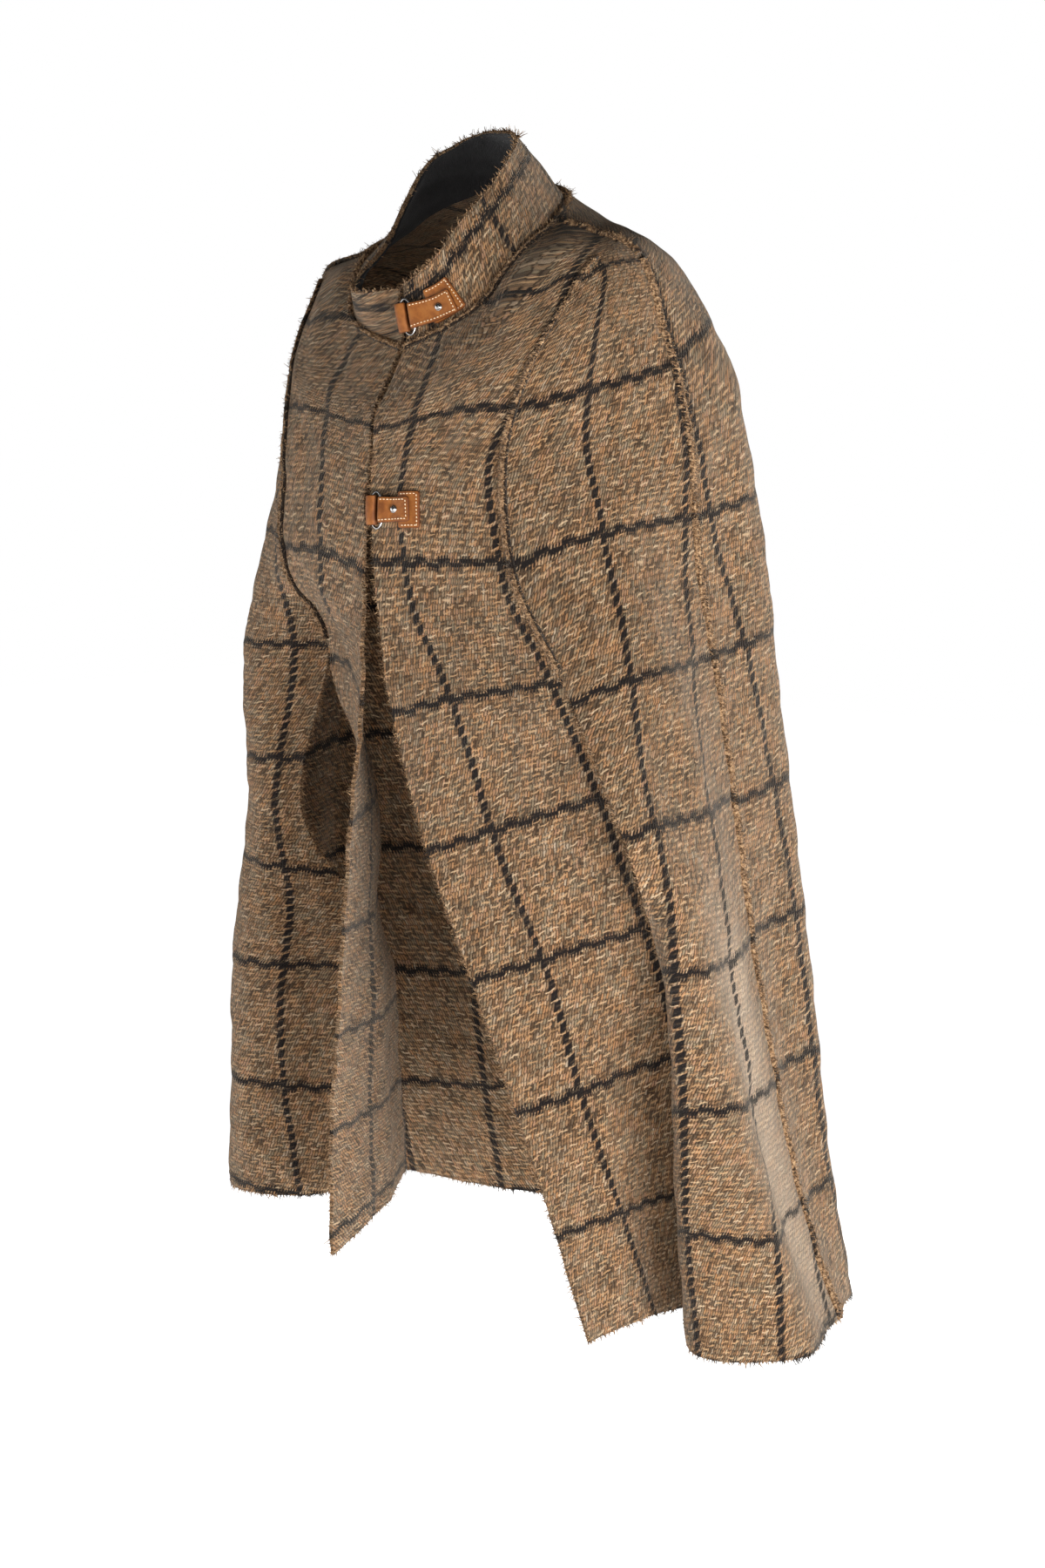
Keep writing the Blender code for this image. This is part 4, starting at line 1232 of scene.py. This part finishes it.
def stitches(name, centres, ways, normals, setup, material):
    """A row of thread stitches: short bent capsules half sunk in what they hold."""
    rings = np.linspace(-1.0, 1.0, STITCH_RINGS)
    thick = setup["radius"] * np.sqrt(np.clip(1.04 - rings ** 6, 0.02, 1.0))
    arch = setup["radius"] * (0.75 - 1.6 * rings ** 4)
    side = unit(np.cross(ways, normals))
    lines = (centres[:, None] + ways[:, None] * (0.5 * setup["length"] * rings)[:, None]
             + normals[:, None] * arch[:, None])
    thick = np.tile(thick, (len(centres), 1))
    return tubes(name, lines, side[:, None], normals[:, None], thick, STITCH_SIDES, material)


def line_stitches(line, normals, setup):
    """Even places along a line of points, with the way along it and normals there."""
    run = run_along(line)
    spots = np.arange(0.5 * setup["pitch"], run[-1], setup["pitch"])
    ways = unit(sampled(spots + STITCH_STEP, run, line) - sampled(spots - STITCH_STEP, run, line))
    return sampled(spots, run, line), ways, unit(sampled(spots, run, normals))


def edge_stitch_line(grid, edge, inset):
    """Points and normals a little way in from one edge of a piece."""
    axis, cut = EDGES[edge]
    if axis == 1:
        found = [beside(grid, row, cut == -1, np.array([inset])) for row in grid.rows]
        return [np.array([place[kind][0] for place in found]) for kind in range(2)]
    order = 1 if cut == 0 else -1
    points = grid.points[::order]
    run = np.cumsum(np.linalg.norm(np.diff(points, axis=0), axis=-1), axis=0).mean(axis=1)
    index = int(np.searchsorted(run, inset)) + 1
    return points[index], grid.normals[::order][index]


def raw_edges(grids, looks):
    """Frayed cut edges and the stitch line beside them."""
    thread_rows = []
    for name, edge in RAW_EDGES:
        edge_fray(name + "_" + edge + "_fray", grids[name], edge, looks["raw"])
        line, normals = edge_stitch_line(grids[name], edge, EDGE_STITCH["inset"])
        thread_rows.append(line_stitches(line, normals, EDGE_STITCH))
    for name, edge in SLIT_EDGES:
        edge_fray(name + "_slit_fray", grids[name], edge, looks["raw"], SLIT_TOP_ROW)
    centres, ways, normals = (np.concatenate(part) for part in zip(*thread_rows))
    stitches("edge_stitches", centres, ways, normals, EDGE_STITCH, looks["brown_thread"])


class LeftFront:
    """Places on what lies square on the left front, along a line that drops across the cloth."""

    def __init__(self, grid, row, drop):
        self.grid = grid
        self.drop = drop
        self.spots = np.linspace(*FRONT_SPAN, FRONT_STEPS[0])
        first_row = max(row - FRONT_ROWS, grid.rows[0])
        self.rows = np.linspace(first_row, min(row + FRONT_ROWS, grid.rows[-1]), FRONT_STEPS[1])
        points = np.array([self.inset(each, self.spots)[0] for each in self.rows])
        self.run = run_along(points)
        self.level = np.array([np.interp(row, self.rows, column) for column in self.run.T])
        middle = int(np.argmin(np.abs(self.rows - row)))
        rise = -unit(np.gradient(points, axis=0)[middle])
        along = unit(np.gradient(points[middle], axis=0)) - drop * rise
        self.lean = np.sum(rise * unit(along), axis=1)

    def inset(self, row, across):
        """Points and normals at distances in from the front edge, or out from it where negative."""
        distances = np.concatenate([[0.0, EDGE_STEP], np.maximum(across, 0.0)])
        points, normals, _ = beside(self.grid, row, False, distances)
        into = unit(points[1] - points[0])
        return points[2:] + into * np.minimum(across, 0.0)[:, None], normals[2:]

    def point(self, across, tall, lift):
        """The point so far across, up and out from the middle of a piece's near end."""
        lean = np.interp(across, self.spots, self.lean)
        upright = math.sqrt(1.0 - lean * lean)
        across = across - tall * lean / upright
        climb = tall / upright - self.drop * across
        place = np.interp(across, self.spots, np.arange(len(self.spots)))
        index = min(int(place), len(self.spots) - 2)
        run = self.run[:, index] + (self.run[:, index + 1] - self.run[:, index]) * (place - index)
        row = np.interp(np.interp(across, self.spots, self.level) - climb, run, self.rows)
        points, normals = self.inset(row, np.array([across]))
        return points[0] + normals[0] * lift

    def axes(self, across, lift, step=0.006):
        """A point, and the ways along the piece there, up it and out from the cloth."""
        along = unit(self.point(across + step, 0.0, lift) - self.point(across - step, 0.0, lift))
        up = self.point(across, step, lift) - self.point(across, -step, lift)
        out = unit(np.cross(along, up))
        return self.point(across, 0.0, lift), along, np.cross(out, along), out


def rim_spacing(count):
    """Shares from -1 to 1 that crowd towards both ends."""
    turn = np.linspace(-1.0, 1.0, count)
    return np.sin(turn * math.pi / 2.0) * 0.72 + turn * 0.28


def leather(name, front, across, tall, lift_at, material, corner=LEATHER_CORNER):
    """Leather with rounded corners and softened rims that follows the cloth of the left front."""
    half_tall = 0.5 * tall
    middle = 0.5 * (across[0] + across[1])
    half_wide = 0.5 * (across[1] - across[0])
    over = []
    under = []
    rims = []
    for height in rim_spacing(LEATHER_ROWS) * -half_tall:
        past = max(abs(height) - (half_tall - corner), 0.0)
        reach = half_wide - corner + math.sqrt(max(corner ** 2 - past ** 2, 0.0))
        for share in rim_spacing(LEATHER_COLUMNS):
            step = middle + share * reach
            rim = min(reach * (1.0 - abs(share)), half_tall - abs(height))
            soft = min(rim / LEATHER_SOFT, 1.0)
            top = LEATHER * (LEATHER_RIM + (1.0 - LEATHER_RIM) * math.sqrt(1.0 - (1.0 - soft) ** 2))
            over.append(front.point(step, height, lift_at(step) + top))
            under.append(front.point(step, height, lift_at(step)))
            rims.append((rim, step, height))
    shape = (LEATHER_ROWS, LEATHER_COLUMNS, 3)
    over, under, rims = (np.array(part).reshape(shape) for part in (over, under, rims))
    return wall(name, over, under, material, rims)


def leather_stitches(name, front, across, tall, lift_at, material):
    """Light stitches just inside the rim of a piece of leather: along its top, far end and bottom."""
    inset = LEATHER_STITCH["inset"]
    low, high = across[0] + inset, across[1] - inset
    half = 0.5 * tall - inset
    rows = []
    corners = [(low, half), (high, half), (high, -half), (low, -half)]
    for start, end in zip(corners, corners[1:]):
        spots = [(start[0] + (end[0] - start[0]) * t, start[1] + (end[1] - start[1]) * t)
                 for t in np.linspace(0.0, 1.0, STITCH_POINTS)]
        line, above = (np.array([front.point(x, y, lift_at(x) + LEATHER + rise) for x, y in spots])
                       for rise in (0.0, 0.001))
        rows.append(line_stitches(line, unit(above - line), LEATHER_STITCH))
    centres, ways, normals = (np.concatenate(part) for part in zip(*rows))
    return stitches(name, centres, ways, normals, LEATHER_STITCH, material)


def wire_ring(name, front, across, material):
    """Oval wire ring that lies flat on the cloth by the front edge."""
    centre, along, up, out = front.axes(across, RING_WIRE + 2.0 * SEAM_GAP)
    turn = np.linspace(0.0, 2.0 * math.pi, RING_TURNS, endpoint=False)[:, None, None]
    roll = np.linspace(0.0, 2.0 * math.pi, RING_SIDES, endpoint=False)[None, :, None]
    spoke = along * np.cos(turn) * RING_HALF_WIDTH + up * np.sin(turn) * RING_HALF_HEIGHT
    radial = along * np.cos(turn) + up * np.sin(turn)
    points = centre + spoke + RING_WIRE * (radial * np.cos(roll) + out * np.sin(roll))
    return piece(name, points, tube_faces(RING_TURNS, RING_SIDES, True), material)


def stud(name, front, across, lift, material):
    """Domed stud through the strap, turned from a short profile."""
    foot, along, up, out = front.axes(across, lift)
    turn = np.linspace(0.0, 2.0 * math.pi, STUD_SIDES, endpoint=False)[None, :, None]
    profile = np.array(STUD_PROFILE)[:, :, None, None]
    points = (foot + (along * np.cos(turn) + up * np.sin(turn)) * profile[:, 0] * STUD_RADIUS
              + out * profile[:, 1] * STUD_RADIUS)
    faces = tube_faces(len(STUD_PROFILE), STUD_SIDES)
    return piece(name, points, faces, material, sharp=70.0)


def fastening(name, grid, looks):
    """Patch and strap with its stud, and the ring that joins the strap to a loop at the front opening."""
    row, strap_drop, patch_drop, ring_at, patch_start, patch_end, strap_end, stud_at = FASTENINGS[name]
    strap_front = LeftFront(grid, row, strap_drop)
    patch_front = LeftFront(grid, row, patch_drop)
    strap_start = ring_at + STRAP_START
    loop_start, loop_end = (ring_at + step for step in LOOP_ACROSS)
    strap_lift = LEATHER_LIFT + LEATHER + SEAM_GAP
    ring_top = 2.0 * RING_WIRE + 3.0 * SEAM_GAP + RING_CLEAR

    def patch_height(across):
        return LEATHER_LIFT

    def strap_height(across):
        flat = strap_lift + (ring_top - strap_lift) * (1.0 - ease(*STRAP_RAMP, across - ring_at))
        short = 1.0 - min((across - strap_start) / STRAP_ROLL, 1.0)
        return LEATHER_LIFT + (flat - LEATHER_LIFT) * math.sqrt(max(1.0 - short * short, 0.0))

    def loop_height(across):
        share = abs(2.0 * (across - loop_start) / (loop_end - loop_start) - 1.0)
        return LEATHER_LIFT + (ring_top - LEATHER_LIFT) * math.sqrt(max(1.0 - share ** LOOP_ROUND, 0.0))

    cuts = {
        # piece: where it lies, from and to across, height, lift at a place across
        "patch": (patch_front, (patch_start, patch_end), PATCH_TALL, patch_height),
        "strap": (strap_front, (strap_start, strap_end), STRAP_TALL, strap_height),
        "loop": (strap_front, (loop_start, loop_end), LOOP_TALL, loop_height),
    }
    for cut, shape in cuts.items():
        corner = LOOP_CORNER if cut == "loop" else LEATHER_CORNER
        made = leather(f"{name}_{cut}_form", *shape, looks["leather"], corner)
        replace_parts(made, f"{name}_{cut}")
    for cut in ("patch", "strap"):
        leather_stitches(f"{name}_{cut}_stitches", *cuts[cut], looks["thread"])
    link = wire_ring(name + "_ring_form", strap_front, ring_at, looks["metal"])
    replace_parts(link, name + "_ring")
    rivet = stud(name + "_stud_form", strap_front, stud_at, strap_lift + LEATHER, looks["metal"])
    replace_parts(rivet, name + "_stud")


def area_light(name, place, target, size, power, colour):
    lamp = bpy.data.lights.new(name, "AREA")
    lamp.shape = "RECTANGLE"
    lamp.size, lamp.size_y = size
    lamp.energy = power
    lamp.color = colour
    made = linked(name, lamp)
    made.location = place
    made.rotation_euler = (Vector(target) - made.location).to_track_quat("-Z", "Y").to_euler()


def stage():
    """Plain pale floor, soft studio light and an even pale background."""
    mesh = bpy.data.meshes.new("floor")
    corners = ((-1, -1), (1, -1), (1, 1), (-1, 1))
    mesh.from_pydata([(x * FLOOR_HALF, y * FLOOR_HALF, FLOOR_Z) for x, y in corners], [], [(0, 1, 2, 3)])
    nodes = material_nodes("floor")
    nodes.set(Base_Color=FLOOR_COLOUR, Roughness=0.9, Emission_Color=FLOOR_COLOUR,
              Emission_Strength=FLOOR_GLOW)
    mesh.materials.append(nodes.owner)
    floor = linked("floor", mesh)
    for row in LIGHTS:
        area_light(*row)
    sky = Nodes(bpy.data.worlds.new("studio"), "Background")
    bpy.context.scene.world = sky.owner
    height = sky.split(sky.make("TexCoord", {}, "Generated"))[2]
    light = sky.range(height, -HORIZON_SOFT, HORIZON_SOFT, WORLD_BELOW, WORLD_ABOVE)
    shown = sky.make("LightPath", {}, "Is Camera Ray")
    sky.set(Color=WORLD_COLOUR, Strength=sky.range(shown, 0.0, 1.0, light, WORLD_SHOWN))


def camera():
    """The photograph's view: turned and tilted so that the neck and the horizon fall where they do there."""
    turn = math.radians(CAMERA_AZIMUTH)
    right = Vector((math.cos(turn), math.sin(turn), 0.0))
    flat = Vector((-math.sin(turn), math.cos(turn), 0.0))
    up = Vector((0.0, 0.0, 1.0))
    yaw = math.atan((0.5 * FRAME_WIDTH - NECK_PIXEL_X) / FOCAL_PIXELS)
    pitch = math.atan((0.5 * FRAME_HEIGHT - HORIZON_PIXEL_Y) / FOCAL_PIXELS)
    ahead = flat * math.cos(yaw) + right * math.sin(yaw)
    side = right * math.cos(yaw) - flat * math.sin(yaw)
    forward = ahead * math.cos(pitch) - up * math.sin(pitch)
    top = ahead * math.sin(pitch) + up * math.cos(pitch)
    lens = bpy.data.cameras.new("photo_view")
    lens.sensor_fit = "VERTICAL"
    lens.sensor_height = SENSOR
    lens.sensor_width = SENSOR * FRAME_WIDTH / FRAME_HEIGHT
    lens.lens = FOCAL_PIXELS / FRAME_HEIGHT * SENSOR
    lens.dof.use_dof = False
    made = linked("photo_view", lens)
    place = Matrix.Translation(flat * -CAMERA_DISTANCE + up * CAMERA_Z)
    made.matrix_world = place @ Matrix((side, top, -forward)).transposed().to_4x4()
    bpy.context.scene.camera = made


def main():
    looks = {"tweed": tweed_material(), "raw": raw_material(), "facing": facing_material(),
             "leather": leather_material(), "metal": metal_material(),
             "thread": thread_material("light_thread", *LIGHT_THREAD),
             "brown_thread": thread_material("brown_thread", *BROWN_THREAD)}
    grids = {name: panel_grid(name) for name in PANEL_COLUMNS}
    grids["collar"] = collar_grid()
    shells(grids, looks)
    seams(grids, looks)
    raw_edges(grids, looks)
    tufts(looks)
    fastening("collar_tab", grids["collar"], looks)
    fastening("chest_tab", grids["front_left"], looks)
    stage()
    camera()
    bpy.context.scene.view_settings.view_transform = "Standard"


main()
